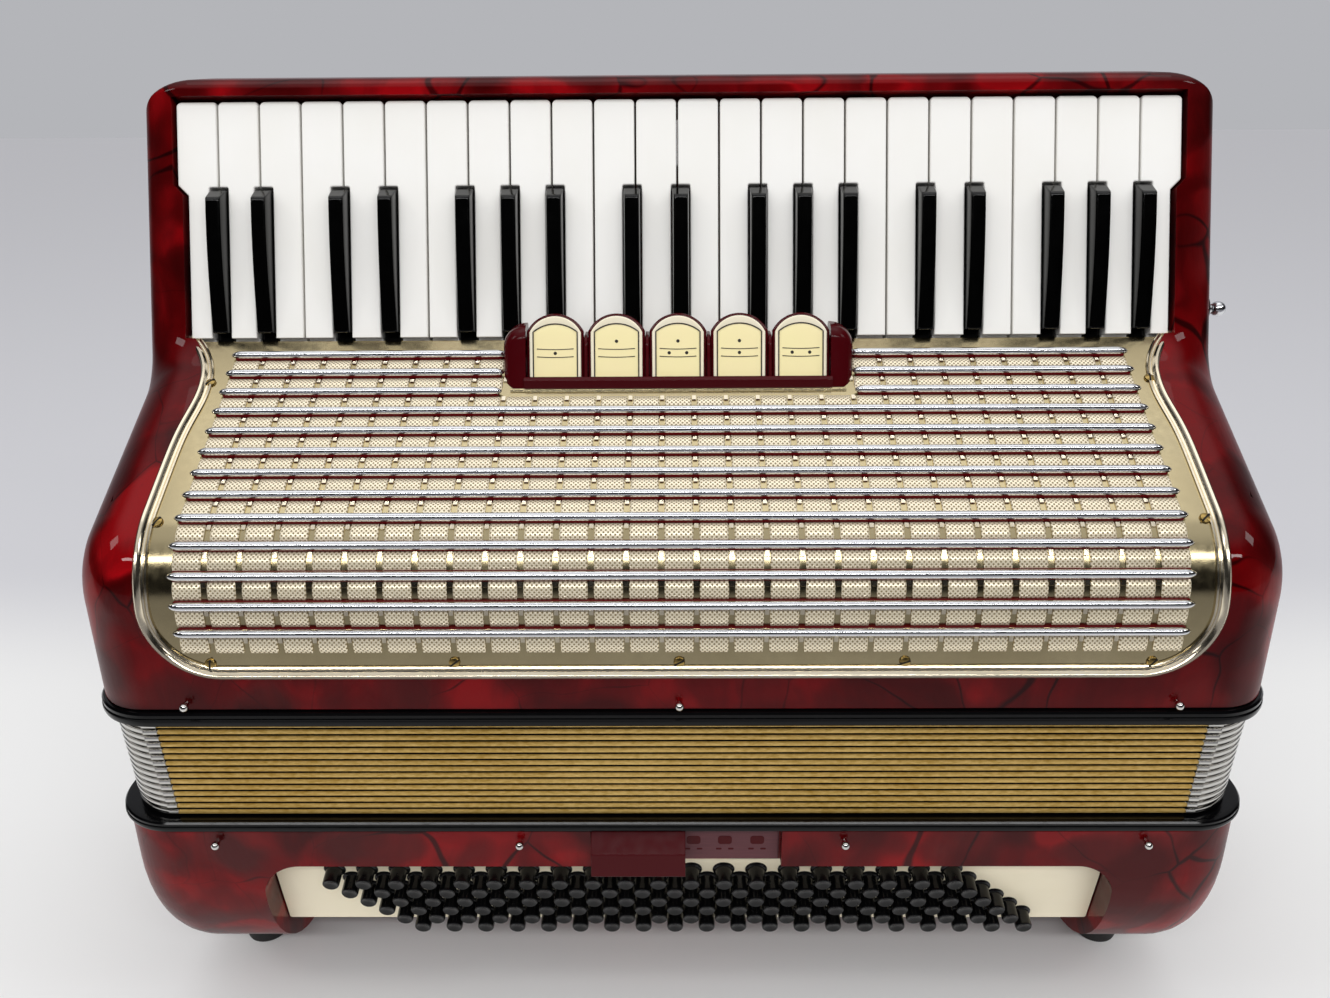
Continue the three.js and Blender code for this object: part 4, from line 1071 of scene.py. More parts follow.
treble_casing = mesh_of("red_treble_casing", [rounded_case(treble_corners, treble_amounts)])
outwards(treble_casing)
hollow = prism_x(hollow_profile, -CASE_HALF + END_ROUND / 2, CASE_HALF - END_ROUND / 2)
cut(treble_casing, hollow, well, pocket)


# Treble grille
# A pressed sheet of gilt brass, held by small screws: perforated windows in rows, and a rolled rim round the
# sides and the foot. Over the rows lie 13 half-round bars in bright plate, each on a strip of red celluloid.
BELLY_TURN = np.pi / 2 - SHELF_SLOPE
BELLY_START = BELLY_HEIGHT - BELLY_RADIUS * np.tan(BELLY_TURN / 2)
FRONT_RUN = BELLY_START - GRILLE_BOTTOM
SHELF_RUN = FRONT_RUN + BELLY_RADIUS * BELLY_TURN
shelf_start = np.array(
    [BELLY_RADIUS * (1 - np.cos(BELLY_TURN)), BELLY_START + BELLY_RADIUS * np.sin(BELLY_TURN)]
)
GRILLE_RUN = SHELF_RUN + np.hypot(*(grille_edge - shelf_start))
GRILLE_CORNER = 30
SHEET_THICKNESS = 1.5
SHEET_MARGIN = 1.5
SHEET_SINK = 0.25
BAR_COUNT = 13
FIRST_BAR = 21
LAST_BAR = 11
BAR_STEP = (GRILLE_RUN - FIRST_BAR - LAST_BAR) / (BAR_COUNT - 1)
BAR_HALF_LENGTH = 199
BAR_BULLET = 4.5
STRIP_HALF = 2.1
STRIP_RISE = 1.5
STRIP_SHORTER = 1.2
STRIP_BULLET = 1.5
CHROME_HALF = 1.75
CHROME_RISE = 2.0
bar_runs = FIRST_BAR + BAR_STEP * np.arange(BAR_COUNT)


def on_grille(x, run, out):
    """World corners on the grille: x across, run along its surface from its foot, and out of it. The surface
    is an upright line, then an arc of the belly's radius, then a straight line up the shelf."""
    x, run, out = (np.asarray(value, float) for value in np.broadcast_arrays(x, run, out))
    turn = np.clip((run - FRONT_RUN) / BELLY_RADIUS, 0, BELLY_TURN)
    beyond = np.where(run < FRONT_RUN, run - FRONT_RUN, np.maximum(0, run - SHELF_RUN))
    depth = BELLY_RADIUS * (1 - np.cos(turn)) + beyond * np.sin(turn) - out * np.cos(turn)
    height = BELLY_START + BELLY_RADIUS * np.sin(turn) + beyond * np.cos(turn) + out * np.sin(turn)
    return np.stack([x, FRONT + depth, height], -1)


WAIST_DIP = 3.2
WAIST_RUN = 138
WAIST_SPREAD = 19
FLARE_START = 146
FLARE_SPAN = 27
FLARE_WIDTH = 11.8


def grille_half(run):
    """Half the grille's width at a run: a quarter circle at the foot, straight sides that draw in a little
    up the shelf as a bell curve, and a power curve outwards over the last part."""
    run = np.asarray(run, float)
    foot = np.sqrt(np.maximum(0, GRILLE_CORNER**2 - np.maximum(0, GRILLE_CORNER - run) ** 2))
    waist_dip = WAIST_DIP * np.exp(-(((run - WAIST_RUN) / WAIST_SPREAD) ** 2))
    climb = np.maximum(0, run - FLARE_START) / FLARE_SPAN
    return GRILLE_HALF - GRILLE_CORNER + foot - waist_dip + FLARE_WIDTH * climb**2.2


SEAT_MARGIN = 3
SEAT_DEPTH = 2.6
SEAT_REACH = 12


def grille_seat():
    """The shallow seat for the sheet, as a shape to cut away: the grille's outline drawn in by a margin,
    from a depth under the surface to some way out of it."""
    runs = np.linspace(SEAT_MARGIN, GRILLE_RUN + SEAT_MARGIN, 120)
    half = grille_half(runs) - SEAT_MARGIN
    across = np.linspace(-1, 1, 41)
    low = on_grille(across * half[:, None], runs[:, None], -SEAT_DEPTH)
    high = on_grille(across * half[:, None], runs[:, None], SEAT_REACH)
    count = low.shape[0] * low.shape[1]
    points, faces = grid_of(low)
    upper, upper_faces = grid_of(high)
    index = np.arange(count).reshape(low.shape[:2])
    border = np.concatenate([index[0], index[1:, -1], index[-1, -2::-1], index[-2:0:-1, 0]])
    ahead = np.roll(border, -1)
    walls = np.stack([border, ahead, ahead + count, border + count], -1).tolist()
    faces = faces + (np.array(upper_faces) + count).tolist() + walls
    return np.concatenate([points, upper]), faces


def grid_of(corners):
    """Corners in rows and columns, and the four-sided faces between them."""
    rows, columns = corners.shape[:2]
    row, column = np.mgrid[0 : rows - 1, 0 : columns - 1]
    first = row * columns + column
    faces = np.stack([first, first + 1, first + columns + 1, first + columns], -1).reshape(-1, 4)
    return corners.reshape(-1, 3), faces.tolist()


def gilt_brass(name, dull, bright):
    """Rolled brass under a thin gilt plate: a pale gold mirror, hazed and duller where polish has stayed."""
    made = finish_of(name, bright, 0.2, Metallic=1.0)
    place = add(made, "TexCoord").outputs["Object"]
    cloud = add(made, "TexNoise", {"Vector": place, "Scale": 22.0, "Detail": 5.0}).outputs["Fac"]
    fine = add(made, "TexNoise", {"Vector": place, "Scale": 320.0, "Detail": 3.0}).outputs["Fac"]
    tint = add(made, "Mix", {0: cloud, 6: dull, 7: bright}, data_type="RGBA").outputs[2]
    haze = add(made, "Math", {0: cloud, 1: fine}, operation="MULTIPLY").outputs[0]
    rough = add(made, "MapRange", {0: haze, 1: 0.1, 2: 0.45, 3: 0.12, 4: 0.25}).outputs[0]
    wave = add(made, "Bump", {"Strength": 0.03, "Distance": 0.0005, "Height": cloud}).outputs[0]
    feed(made, Base_Color=tint, Roughness=rough, Normal=wave)
    return made


HOLE_PITCH = 1.3
HOLE_SHARE = 0.31


def perforated_metal():
    """Fine-punched sheet, pale gilt, with round holes in a diagonal pattern that are painted dark: painted
    shade of the hollow behind the sheet. The real holes lie about a millimetre apart, and are drawn a little
    coarser so that they show."""
    made = finish_of("perforated_gilt", "#e9e0c6", 0.34, Metallic=0.75)
    place = add(made, "UVMap", uv_map="sheet").outputs["UV"]
    lattice = add(
        made, "Mapping", {"Vector": place, "Rotation": (0, 0, np.pi / 4), "Scale": (1 / HOLE_PITCH,) * 3}
    ).outputs[0]
    spot = add(
        made,
        "TexVoronoi",
        {"Vector": lattice, "Scale": 1.0, "Randomness": 0.0},
        voronoi_dimensions="2D",
    ).outputs["Distance"]
    metal = add(made, "MapRange", {0: spot, 1: HOLE_SHARE - 0.03, 2: HOLE_SHARE + 0.03}).outputs[0]
    # Painted shade: the holes are painted dark brown for the hollow behind the sheet.
    colour = add(made, "Mix", {0: metal, 6: "#8a7a59", 7: "#fff3d8"}, data_type="RGBA").outputs[2]
    shine = add(made, "MapRange", {0: metal, 3: 0.0, 4: 0.45}).outputs[0]
    rough = add(made, "MapRange", {0: metal, 3: 0.9, 4: 0.33}).outputs[0]
    dent = add(made, "Bump", {"Strength": 0.6, "Distance": 0.0003, "Height": metal}).outputs[0]
    feed(made, Base_Color=colour, Metallic=shine, Roughness=rough, Normal=dent)
    return made


cut(treble_casing, grille_seat())
dress(treble_casing, [celluloid], "treble")
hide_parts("treble_casing")

gilt = gilt_brass("gilt_brass", "#af9f78", "#c3b692")
# Painted highlight: the rim, the windows' edges and the tongues take a paler copy of the sheet's gilt, for
# the light on their beads.
rim_gilt_painted_highlight = gilt_brass("pale_gilt_painted_highlight", "#e0d2b4", "#efe6d2")
perforated = perforated_metal()
chrome = polished_nickel("bright_chrome", "#dcdde0", 0.15)
# Painted shade: a near-black bar stands for the shade inside each screw slot.
slot_painted_shade = finish_of("slot_shadow", "#0a0806", 0.8)

foot_runs = GRILLE_CORNER * (1 - np.cos(np.linspace(0.12, np.pi / 2, 16)))
sheet_runs = np.append(foot_runs, np.linspace(GRILLE_CORNER, GRILLE_RUN, 110)[1:])
across = np.linspace(-1, 1, 61)
sheet_x = across[None, :] * (grille_half(sheet_runs)[:, None] - SHEET_MARGIN)
sheet = mesh_of("gilt_grille_sheet", [grid_of(on_grille(sheet_x, sheet_runs[:, None], -SHEET_SINK))])
thick = sheet.modifiers.new("thickness", "SOLIDIFY")
thick.thickness = SHEET_THICKNESS * MM
thick.offset = -1
applied(sheet)
outwards(sheet)
dress(sheet, [gilt], "treble")
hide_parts("treble_grille")

# The rim: across it and out of the sheet, an outer bead, a valley and a fine inner bead.
RIM_SECTION = np.array(
    [
        (-0.4, -1.2),
        (-0.3, 0.8),
        (0.1, 1.5),
        (0.9, 2.0),
        (1.8, 1.9),
        (2.6, 1.3),
        (3.1, 0.45),
        (3.7, 0.3),
        (4.1, 0.75),
        (4.7, 0.95),
        (5.2, 0.6),
        (5.5, -1.2),
    ]
)


def rim_path():
    """The grille's outline in (x, run): up the left side from the foot's arc, mirrored for the right."""
    turn = np.linspace(0, np.pi / 2, 25)
    foot_x = GRILLE_HALF - GRILLE_CORNER + GRILLE_CORNER * np.sin(turn)
    foot_run = GRILLE_CORNER * (1 - np.cos(turn))
    up = np.linspace(GRILLE_CORNER, GRILLE_RUN + 0.8, 120)[1:]
    right = np.column_stack([np.append(foot_x, grille_half(up)), np.append(foot_run, up)])
    foot = np.column_stack([np.linspace(0, GRILLE_HALF - GRILLE_CORNER, 12)[:-1], np.zeros(11)])
    half = np.vstack([foot, right])
    left = half[1:][::-1] * [-1, 1]
    return np.vstack([left, half])


def rim_rings(section):
    """The rim's section carried along its path, square to it in the grille's surface."""
    path = rim_path()
    inward = turned_left(unit(np.gradient(path, axis=0)))
    flat = path[:, None] + inward[:, None] * section[None, :, :1]
    return on_grille(flat[..., 0], flat[..., 1], section[None, :, 1])


piece("rolled_grille_rim", [loft(rim_rings(RIM_SECTION))], [rim_gilt_painted_highlight], "treble")


def ridge(run, start, end, section, bullet):
    """A bar along x: its section of (along the surface, out of it) shrinks to its foot over the bullet's
    length as a quarter ellipse."""
    turn = np.linspace(0, np.pi / 2, 8)
    ends = np.append((1 - np.cos(turn)) * bullet, 0)[:-1]
    size = np.maximum(0.04, np.sin(turn))
    x = np.concatenate([start + ends, end - ends[::-1]])
    scale = np.concatenate([size, size[::-1]])
    base = section[0, 1]
    middle = section[:, 0] * scale[:, None]
    out = base + (section[:, 1] - base) * np.maximum(0.3, scale)[:, None]
    return loft(on_grille(x[:, None], run + middle, out))


bow = np.linspace(0, np.pi, 13)
chrome_across = np.concatenate([[-CHROME_HALF], -CHROME_HALF * np.cos(bow), [CHROME_HALF]])
chrome_out = STRIP_RISE + np.concatenate([[-0.2], 0.1 + (CHROME_RISE - 0.1) * np.sin(bow), [-0.2]])
chrome_section = np.column_stack([chrome_across, chrome_out])
strip_section = np.array(
    [(-STRIP_HALF, -0.4), (-STRIP_HALF, STRIP_RISE - 0.3), (-STRIP_HALF + 0.3, STRIP_RISE)]
    + [(STRIP_HALF - 0.3, STRIP_RISE), (STRIP_HALF, STRIP_RISE - 0.3), (STRIP_HALF, -0.4)]
)
HOUSING_CLEAR = 76.2
HOUSING_WINDOW_HALF = 75
HOUSING_RUN = 62
upper_bars = bar_runs > FIRST_BAR + BAR_STEP * (BAR_COUNT - 3.5)


def bar_spans(index):
    """A bar runs from end to end, but the three uppermost stop at the register housing."""
    if upper_bars[index]:
        return [(-BAR_HALF_LENGTH, -HOUSING_CLEAR), (HOUSING_CLEAR, BAR_HALF_LENGTH)]
    return [(-BAR_HALF_LENGTH, BAR_HALF_LENGTH)]


chrome_bars, red_strips = [], []
for index, run in enumerate(bar_runs):
    for start, end in bar_spans(index):
        chrome_bars.append(ridge(run, start, end, chrome_section, BAR_BULLET))
        start, end = start + STRIP_SHORTER, end - STRIP_SHORTER
        red_strips.append(ridge(run, start, end, strip_section, STRIP_BULLET))
piece("chrome_grille_bars", chrome_bars, [chrome], "treble")
strip_red = maroon_plastic("red_strip_celluloid", "#57050a")
piece("red_bar_strips", red_strips, [strip_red], "treble")

WINDOW_PITCH = 13.7
WINDOW_HALF = 5.75
WINDOW_COUNT = 29
WINDOW_BULGE = 1.15
WINDOW_EDGE = 0.18
WINDOW_SINK = 0.4
window_half_run = BAR_STEP / 2 - STRIP_HALF - 0.1


def pillow(x, run, half_run):
    """A window: it bulges out as a parabola along the run, and falls to the sheet at its two ends."""
    u = np.array([-1, -0.985, -0.93, -0.8, -0.4, 0, 0.4, 0.8, 0.93, 0.985, 1])
    v = np.linspace(-1, 1, 9)
    lift = WINDOW_EDGE + WINDOW_BULGE * (1 - v[:, None] ** 2) * (1 - np.abs(u[None, :]) ** 14)
    lift[:, [0, -1]] = -WINDOW_SINK
    rounded = 1 - 0.05 * np.abs(v[:, None]) ** 4
    corners = on_grille(x + WINDOW_HALF * u[None, :] * rounded, run + half_run * v[:, None], lift)
    points, faces = grid_of(corners)
    ends = (0, len(u) - 2)
    edge = [face for face in faces if face[0] % len(u) in ends]
    field = [face for face in faces if face[0] % len(u) not in ends]
    return points, edge, field


def is_clear(x, run):
    """Whether a place on the grille lies outside the register housing."""
    return abs(x) > HOUSING_WINDOW_HALF or run < SHELF_RUN + HOUSING_RUN


TONGUE_HALF = 0.95
TONGUE_HALF_RUN = 1.3
tongue_x = np.array([-1, -0.9, 0, 0.9, 1]) * TONGUE_HALF
tongue_run = np.array([[-1], [-0.8], [0], [1.0]]) * TONGUE_HALF_RUN
tongue_out = np.array([[-0.3] * 5] + [[-0.3, 0.42, 0.5, 0.42, -0.3]] * 3)


def tongue(x, run):
    """The small tongue of the sheet between the upper corners of two windows."""
    return grid_of(on_grille(x + tongue_x, run + tongue_run, tongue_out))


window_runs = [(run + BAR_STEP / 2, window_half_run) for run in bar_runs[:-1]]
window_runs.insert(0, (FIRST_BAR - BAR_STEP / 2 - 0.3, window_half_run - 0.2))
frames, meshes, tongues = [], [], []
for run, half_run in window_runs:
    for k in range(WINDOW_COUNT):
        x = (k - (WINDOW_COUNT - 1) / 2) * WINDOW_PITCH
        if is_clear(x, run):
            points, edge, field = pillow(x, run, half_run)
            frames.append((points, edge, 0))
            meshes.append((points, field, 1))
        if k < WINDOW_COUNT - 1 and is_clear(x + WINDOW_PITCH / 2, run):
            tongues.append(tongue(x + WINDOW_PITCH / 2, run + half_run - 1.2))
windows = mesh_of("perforated_windows", frames + meshes + tongues)
layer = windows.data.uv_layers.new(name="sheet")
corner_of = np.empty(len(windows.data.loops), np.int32)
windows.data.loops.foreach_get("vertex_index", corner_of)


def run_of(points):
    """The run of a point on the grille: its height up the front, its angle round the belly times the radius,
    or its distance along the shelf."""
    depth, height = points[:, 1] - FRONT, points[:, 2]
    turn = np.clip(np.arctan2(height - BELLY_START, BELLY_RADIUS - depth), 0, BELLY_TURN)
    low = height - GRILLE_BOTTOM
    along = (np.column_stack([depth, height]) - shelf_start) @ shelf_along
    bent = np.where(along > 0, SHELF_RUN + along, FRONT_RUN + BELLY_RADIUS * turn)
    return np.where(height < BELLY_START, low, bent)


window_points = points_of(windows)
sheet_uv = np.column_stack([window_points[:, 0], run_of(window_points)])[corner_of]
layer.data.foreach_set("uv", sheet_uv.ravel().astype(np.float32))
dress(windows, [rim_gilt_painted_highlight, perforated], "treble", np.radians(50))


def screw(x, run, out, radius):
    """A domed screw head on the grille, and a dark bar in its slot: painted shade of the slot."""
    here, aside, above = on_grille(x, run, out), on_grille(x + 1, run, out), on_grille(x, run, out + 1)
    right, up = aside - here, above - here
    ahead = np.cross(up, right)
    place = lambda a, b, c: here + a[..., None] * right + b[..., None] * ahead + c[..., None] * up
    dome = [(radius, -0.6), (radius, 0.3), (radius * 0.86, 0.75), (radius * 0.5, 1.05), (0.2, 1.12)]
    slant = np.radians(17 * (x + run) % 90)
    half = np.array([[-1, -0.16], [1, -0.16], [1, 0.16], [-1, 0.16]]) * radius * 0.94
    a = half[:, 0] * np.cos(slant) - half[:, 1] * np.sin(slant)
    b = half[:, 0] * np.sin(slant) + half[:, 1] * np.cos(slant)
    rings = [place(a, b, np.full(4, height)) for height in (0.2, 1.16)]
    return turned(dome, 20, place), loft(rings)


SCREW_RADIUS = 2.3
SCREW_SINK = 0.1
mirrored_screws = ((205.0, 144), (206.0, 66.5), (187.0, 6.5), (89.4, 7))
screw_places = [(side * x, run) for x, run in mirrored_screws for side in (-1, 1)] + [(0, 7)]
heads, slots = zip(*[screw(x, run, -SCREW_SINK, SCREW_RADIUS) for x, run in screw_places])
piece("grille_screw_heads", heads, [polished_nickel("aged_brass", "#a98f55", 0.22)], "treble")
piece("grille_screw_slots", slots, [slot_painted_shade], "treble")


# Register housing
# Cast maroon plastic in one piece, polished: two cheeks, four partitions and a front strip, fixed over the
# grille. It carries the pivots of the five rocker tabs.
TAB_COUNT = 5
TAB_PITCH = 26.7
HOUSING_BACK = grille_edge[0] - 7.4
HOUSING_FRONT = HOUSING_BACK - 21
HOUSING_HEIGHT = 27.4
HOUSING_SINK = 1.5
CHEEK_INNER = TAB_COUNT * TAB_PITCH / 2 - 0.6
CHEEK_OUTER = TAB_COUNT * TAB_PITCH / 2 + 9.6
STRIP_FRONT_RISE = 4.6
PARTITION_DROP = 4.2


def shelf_height(depth):
    """Height of the casing's sloping shelf at a depth."""
    return BELLY_HEIGHT + depth * np.tan(SHELF_SLOPE)


def housing_profile(drop):
    """Side view of the housing: up its leaning front, along its top, which drops by a length, and down."""
    low = shelf_height(HOUSING_FRONT) - HOUSING_SINK
    top = low + HOUSING_HEIGHT - drop
    return [
        (HOUSING_FRONT, low, 0.3),
        (HOUSING_FRONT + 9, top, 6),
        (HOUSING_BACK - 1, top, 2.5),
        (HOUSING_BACK, shelf_height(HOUSING_BACK) - HOUSING_SINK, 0.3),
    ]


def cheek(side):
    """A cheek, half a D in front view: towards its outer end x follows the sine of a quarter turn, while
    its foot, front and top draw in by shares of one minus the cosine."""
    turn = np.linspace(0, np.pi / 2, 15)
    rings = []
    for angle in turn:
        drawn = 1 - np.cos(angle)
        front, back = HOUSING_FRONT - 0.6 + 10 * drawn, HOUSING_BACK - 2.5 * drawn
        top = shelf_height(HOUSING_FRONT) - HOUSING_SINK + HOUSING_HEIGHT
        corners = [
            (front, shelf_height(front) - HOUSING_SINK, 0.3),
            (HOUSING_FRONT + 8 + 3.5 * drawn, top - 9 * drawn, 7 - 4 * drawn),
            (HOUSING_BACK - 1 - 2.5 * drawn, top - 9 * drawn, 2.5),
            (back, shelf_height(back) - HOUSING_SINK, 0.3),
        ]
        x = CHEEK_INNER + (CHEEK_OUTER - CHEEK_INNER) * np.sin(angle)
        rings.append(along_x(filleted(corners, 12), side * x))
    return loft(rings)


def partition(x):
    """A thin wall between two tabs, whose front, top and back draw in over its rounded edges."""
    rings = []
    for offset, drawn in ((-0.8, 0.5), (-0.65, 0.15), (-0.4, 0.0), (0.4, 0.0), (0.65, 0.15), (0.8, 0.5)):
        outline = filleted(inset(housing_profile(PARTITION_DROP), [drawn, drawn, drawn, 0]), 8)
        rings.append(along_x(outline, x + offset))
    return loft(rings)


def shelf_bar(front, back, low, high, half, radius):
    """A bar along x between two depths, whose foot and top follow the shelf."""
    section = [
        (front, shelf_height(front) + low, 0.3),
        (front, shelf_height(front) + high, radius),
        (back, shelf_height(back) + high, radius),
        (back, shelf_height(back) + low, 0.3),
    ]
    return prism_x(filleted(section, 6), -half, half)


inner_half = TAB_COUNT * TAB_PITCH / 2
housing_shapes = [cheek(side) for side in (-1, 1)]
housing_shapes += [partition(k * TAB_PITCH - inner_half) for k in range(1, TAB_COUNT)]
housing_shapes += [
    shelf_bar(HOUSING_FRONT, HOUSING_FRONT + 3, -HOUSING_SINK, STRIP_FRONT_RISE, inner_half, 1.0),
    shelf_bar(HOUSING_FRONT + 1.5, HOUSING_BACK - 1, -HOUSING_SINK, 1, inner_half, 0.3),
    shelf_bar(HOUSING_BACK - 2, HOUSING_BACK, -HOUSING_SINK, 7.6, inner_half, 0.6),
]
piece("maroon_register_housing", housing_shapes, [maroon], "treble")
piece(
    "housing_foot_trim",
    [shelf_bar(HOUSING_FRONT - 0.7, HOUSING_FRONT + 0.5, -0.6, 0.9, inner_half + 6, 0.3)],
    [gilt],
    "treble",
)


# Register tabs
# Five rockers of maroon plastic, each faced with a gilt rim round a polished pale gold plate that has
# engraved lines and dots, plain signs for the reeds that it opens.
TAB_HALF = 12.4
TAB_FOOT = -3.2
TAB_HEIGHT = 24.5
TAB_LEAN = np.radians(18)
TAB_HUB = np.array([-6.76, 288.11])
# Dots in each tab, from the left: how many lie above the two lines, and how many between them.
TAB_DOTS = ((0, 1), (1, 0), (1, 2), (1, 1), (0, 2))
TAB_LINES = (5.7, 9.1)
TAB_LINE_HALF = 8.0
TAB_LINE_SAG = 0.35
TAB_LINE_WIDTH = 0.36
FRAME_LINE_WIDTH = 0.5
UPPER_DOT = 12.4
LOWER_DOTS = 7.3
DOTS_APART = 3.8


def arch(side_drawn, top_drawn, rise):
    """Outline of a tab seen square to its face, drawn in at the sides and the top: a straight foot and
    sides, and an arc that rises from both shoulders to the crown."""
    half = TAB_HALF - side_drawn
    crown = TAB_HEIGHT - top_drawn
    radius = (half**2 + rise**2) / (2 * rise)
    start = np.arctan2(radius - rise, half)
    angle = np.linspace(start, np.pi - start, 24)
    bow_line = np.column_stack([radius * np.cos(angle), crown - radius + radius * np.sin(angle)])
    return np.vstack([[(-half, TAB_FOOT), (half, TAB_FOOT)], bow_line])


def on_tab(x, up, out):
    """World corners on a tab: x across, up its face from its hub, and out of its middle plane."""
    y = TAB_HUB[0] + up * np.sin(TAB_LEAN) - out * np.cos(TAB_LEAN)
    z = TAB_HUB[1] + up * np.cos(TAB_LEAN) + out * np.sin(TAB_LEAN)
    return np.stack(np.broadcast_arrays(x, y, z), -1)


def tab_loft(x, levels, closed=False):
    """Rings of the tab's outline, each drawn in at the sides and top by its amounts, at its height."""
    rings = []
    for side_drawn, top_drawn, rise, out in levels:
        across_tab, up = arch(side_drawn, top_drawn, rise).T
        rings.append(on_tab(x + across_tab, up, out))
    return loft(rings, closed)


def engraved(x, path, width):
    """A dark line: a flat band of one width along a path on the tab's plate, a hair proud of it."""
    aside = turned_left(unit(np.gradient(path, axis=0))) * width / 2
    rows = []
    for offset, out in ((-1, 0.9), (-1, 1.36), (1, 1.36), (1, 0.9)):
        line = path + offset * aside
        rows.append(on_tab(x + line[:, 0], line[:, 1], out))
    return loft(np.stack(rows, 1))


def polished_gold(name, colour, other_colour):
    """Gilt sheet, polished, drawn as a non-metal: its pale colour is painted reflection in place of the
    metal's mirror, and it shades from one tone to another in soft clouds."""
    made = finish_of(name, colour, 0.1)
    place = add(made, "TexCoord").outputs["Object"]
    cloud = add(made, "TexNoise", {"Vector": place, "Scale": 45.0, "Detail": 2.0}).outputs["Fac"]
    tint = add(made, "Mix", {0: cloud, 6: colour, 7: other_colour}, data_type="RGBA").outputs[2]
    feed(made, Base_Color=tint)
    return hazed(made, 500.0, 3.0, 0.06, 0.2)


# Painted reflection: both tab golds are pale non-metal colours standing in for the light that the gilt
# mirrors.
tab_rim_painted_reflection = polished_gold("tab_rim_gilt_painted_reflection", "#fff2cf", "#fffae8")
tab_plate_painted_reflection = polished_gold("tab_plate_gilt_painted_reflection", "#fff4b8", "#ffeebb")
engraving = finish_of("engraved_line", "#1c0f07", 0.5)
backing_levels = [
    (1.0, 1.0, 7.0, -1.3),
    (0.2, 0.2, 7.5, -1.1),
    (0.0, 0.0, 7.6, -0.7),
    (0.0, 0.0, 7.6, 0.3),
    (0.3, 0.3, 7.4, 0.8),
    (1.0, 1.0, 7.1, 1.0),
    (1.6, 1.6, 6.8, 0.9),
]
rim_levels = [
    (1.15, 1.15, 7.0, 0.7),
    (1.2, 1.2, 7.0, 1.25),
    (1.5, 1.5, 6.9, 1.6),
    (1.9, 2.1, 6.5, 1.62),
    (2.5, 3.6, 4.6, 1.25),
    (2.8, 4.5, 3.5, 1.05),
    (2.8, 4.5, 3.5, 0.7),
]
plate_levels = [(2.6, 4.2, 3.7, 0.6), (2.85, 4.6, 3.4, 1.0), (4.2, 6.2, 2.8, 1.16), (7.0, 9.5, 1.8, 1.28)]
hub_corners = [(0.2, -1.9), (3.0, -1.9), (3.0, 1.9), (0.2, 1.9)]
hub_section = [(TAB_HUB[0] - FRONT + a, TAB_HUB[1] + b, 0.9) for a, b in hub_corners]
HUB_HALF = 12.2
plate_edge = arch(*rim_levels[-1][:3])
frame_line = np.vstack([plate_edge[1:], plate_edge[:1]])
# Each line across a plate is a shallow parabola.
sag = np.linspace(-1, 1, 13)
for index in range(TAB_COUNT):
    x = index * TAB_PITCH - inner_half + TAB_PITCH / 2
    body = f"register_switch_{index + 1}"
    hub = prism_x(filleted(hub_section, 6), x - HUB_HALF, x + HUB_HALF)
    backing = [tab_loft(x, backing_levels), hub]
    made = piece(f"tab_backing_{index + 1}", backing, [maroon], body)
    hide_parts(body)
    piece(f"tab_rim_{index + 1}", [tab_loft(x, rim_levels, True)], [tab_rim_painted_reflection], body)
    piece(f"tab_plate_{index + 1}", [tab_loft(x, plate_levels)], [tab_plate_painted_reflection], body)
    lines = [engraved(x, frame_line, FRAME_LINE_WIDTH)]
    for level in TAB_LINES:
        curve = np.column_stack([sag * TAB_LINE_HALF, level + TAB_LINE_SAG * sag**2 - 0.2])
        lines.append(engraved(x, curve, TAB_LINE_WIDTH))
    above, between = TAB_DOTS[index]
    dots = [(0, UPPER_DOT)] * above
    dots += [(side * DOTS_APART if between > 1 else 0, LOWER_DOTS) for side in (-1, 1)[:between]]
    for across_tab, up in dots:
        place = lambda a, b, c, u=across_tab, v=up: on_tab(x + u + a, v + b, c)
        lines.append(turned([(0.74, 0.95), (0.74, 1.34), (0.1, 1.38)], 14, place))
    piece(f"tab_engraving_{index + 1}", lines, [engraving], body)


# Keyboard
# 24 white keys faced with pearly plastic and 17 polished black ones, each pivoted on one steel axle that
# runs through the casing behind the grille.
KEY_HALF = (KEY_PITCH - 0.9) / 2
KEY_THICKNESS = 12
KEY_TAIL = 30
TAIL_DROP = 5
SHARP_HALF = 3.8
SHARP_LENGTH = 66
SHARP_INNER = 1.5
# The naturals from the left, and how far the black key between two of them stands off their gap.
NATURALS = "AGFEDCBAGFEDCBAGFEDCBAGF"
PLACE_SHARES = {"BA": -1, "AG": 0, "GF": 1, "ED": -1, "DC": 1}
SHARP_OFFSET = 1.5
sharp_x = [
    (gap + 1) * KEY_PITCH - KEYBOARD_HALF + PLACE_SHARES[pair] * SHARP_OFFSET
    for gap, pair in enumerate(map("".join, zip(NATURALS, NATURALS[1:])))
    if pair in PLACE_SHARES
]


def white_plastic():
    """Cast white plastic, very slightly warm, under a clear gloss; hardly any texture but soft clouds."""
    made = finish_of("white_key_plastic", "#f1f0ec", 0.35, Specular_IOR_Level=0.3)
    place = add(made, "TexCoord").outputs["Object"]
    cloud = add(made, "TexNoise", {"Vector": place, "Scale": 26.0, "Detail": 4.0}).outputs["Fac"]
    tint = add(made, "Mix", {0: cloud, 6: "#faf9f6", 7: "#f5f3ec"}, data_type="RGBA").outputs[2]
    rough = add(made, "MapRange", {0: cloud, 3: 0.3, 4: 0.42}).outputs[0]
    feed(made, Base_Color=tint, Roughness=rough)
    return made


def tail(left, right):
    """The key's arm, below the grille's edge, as a plain bar."""
    plan = [(left, -KEY_TAIL), (right, -KEY_TAIL), (right, 2.0), (left, 2.0)]
    return slab(plan, on_keyboard, -KEY_THICKNESS, -TAIL_DROP)


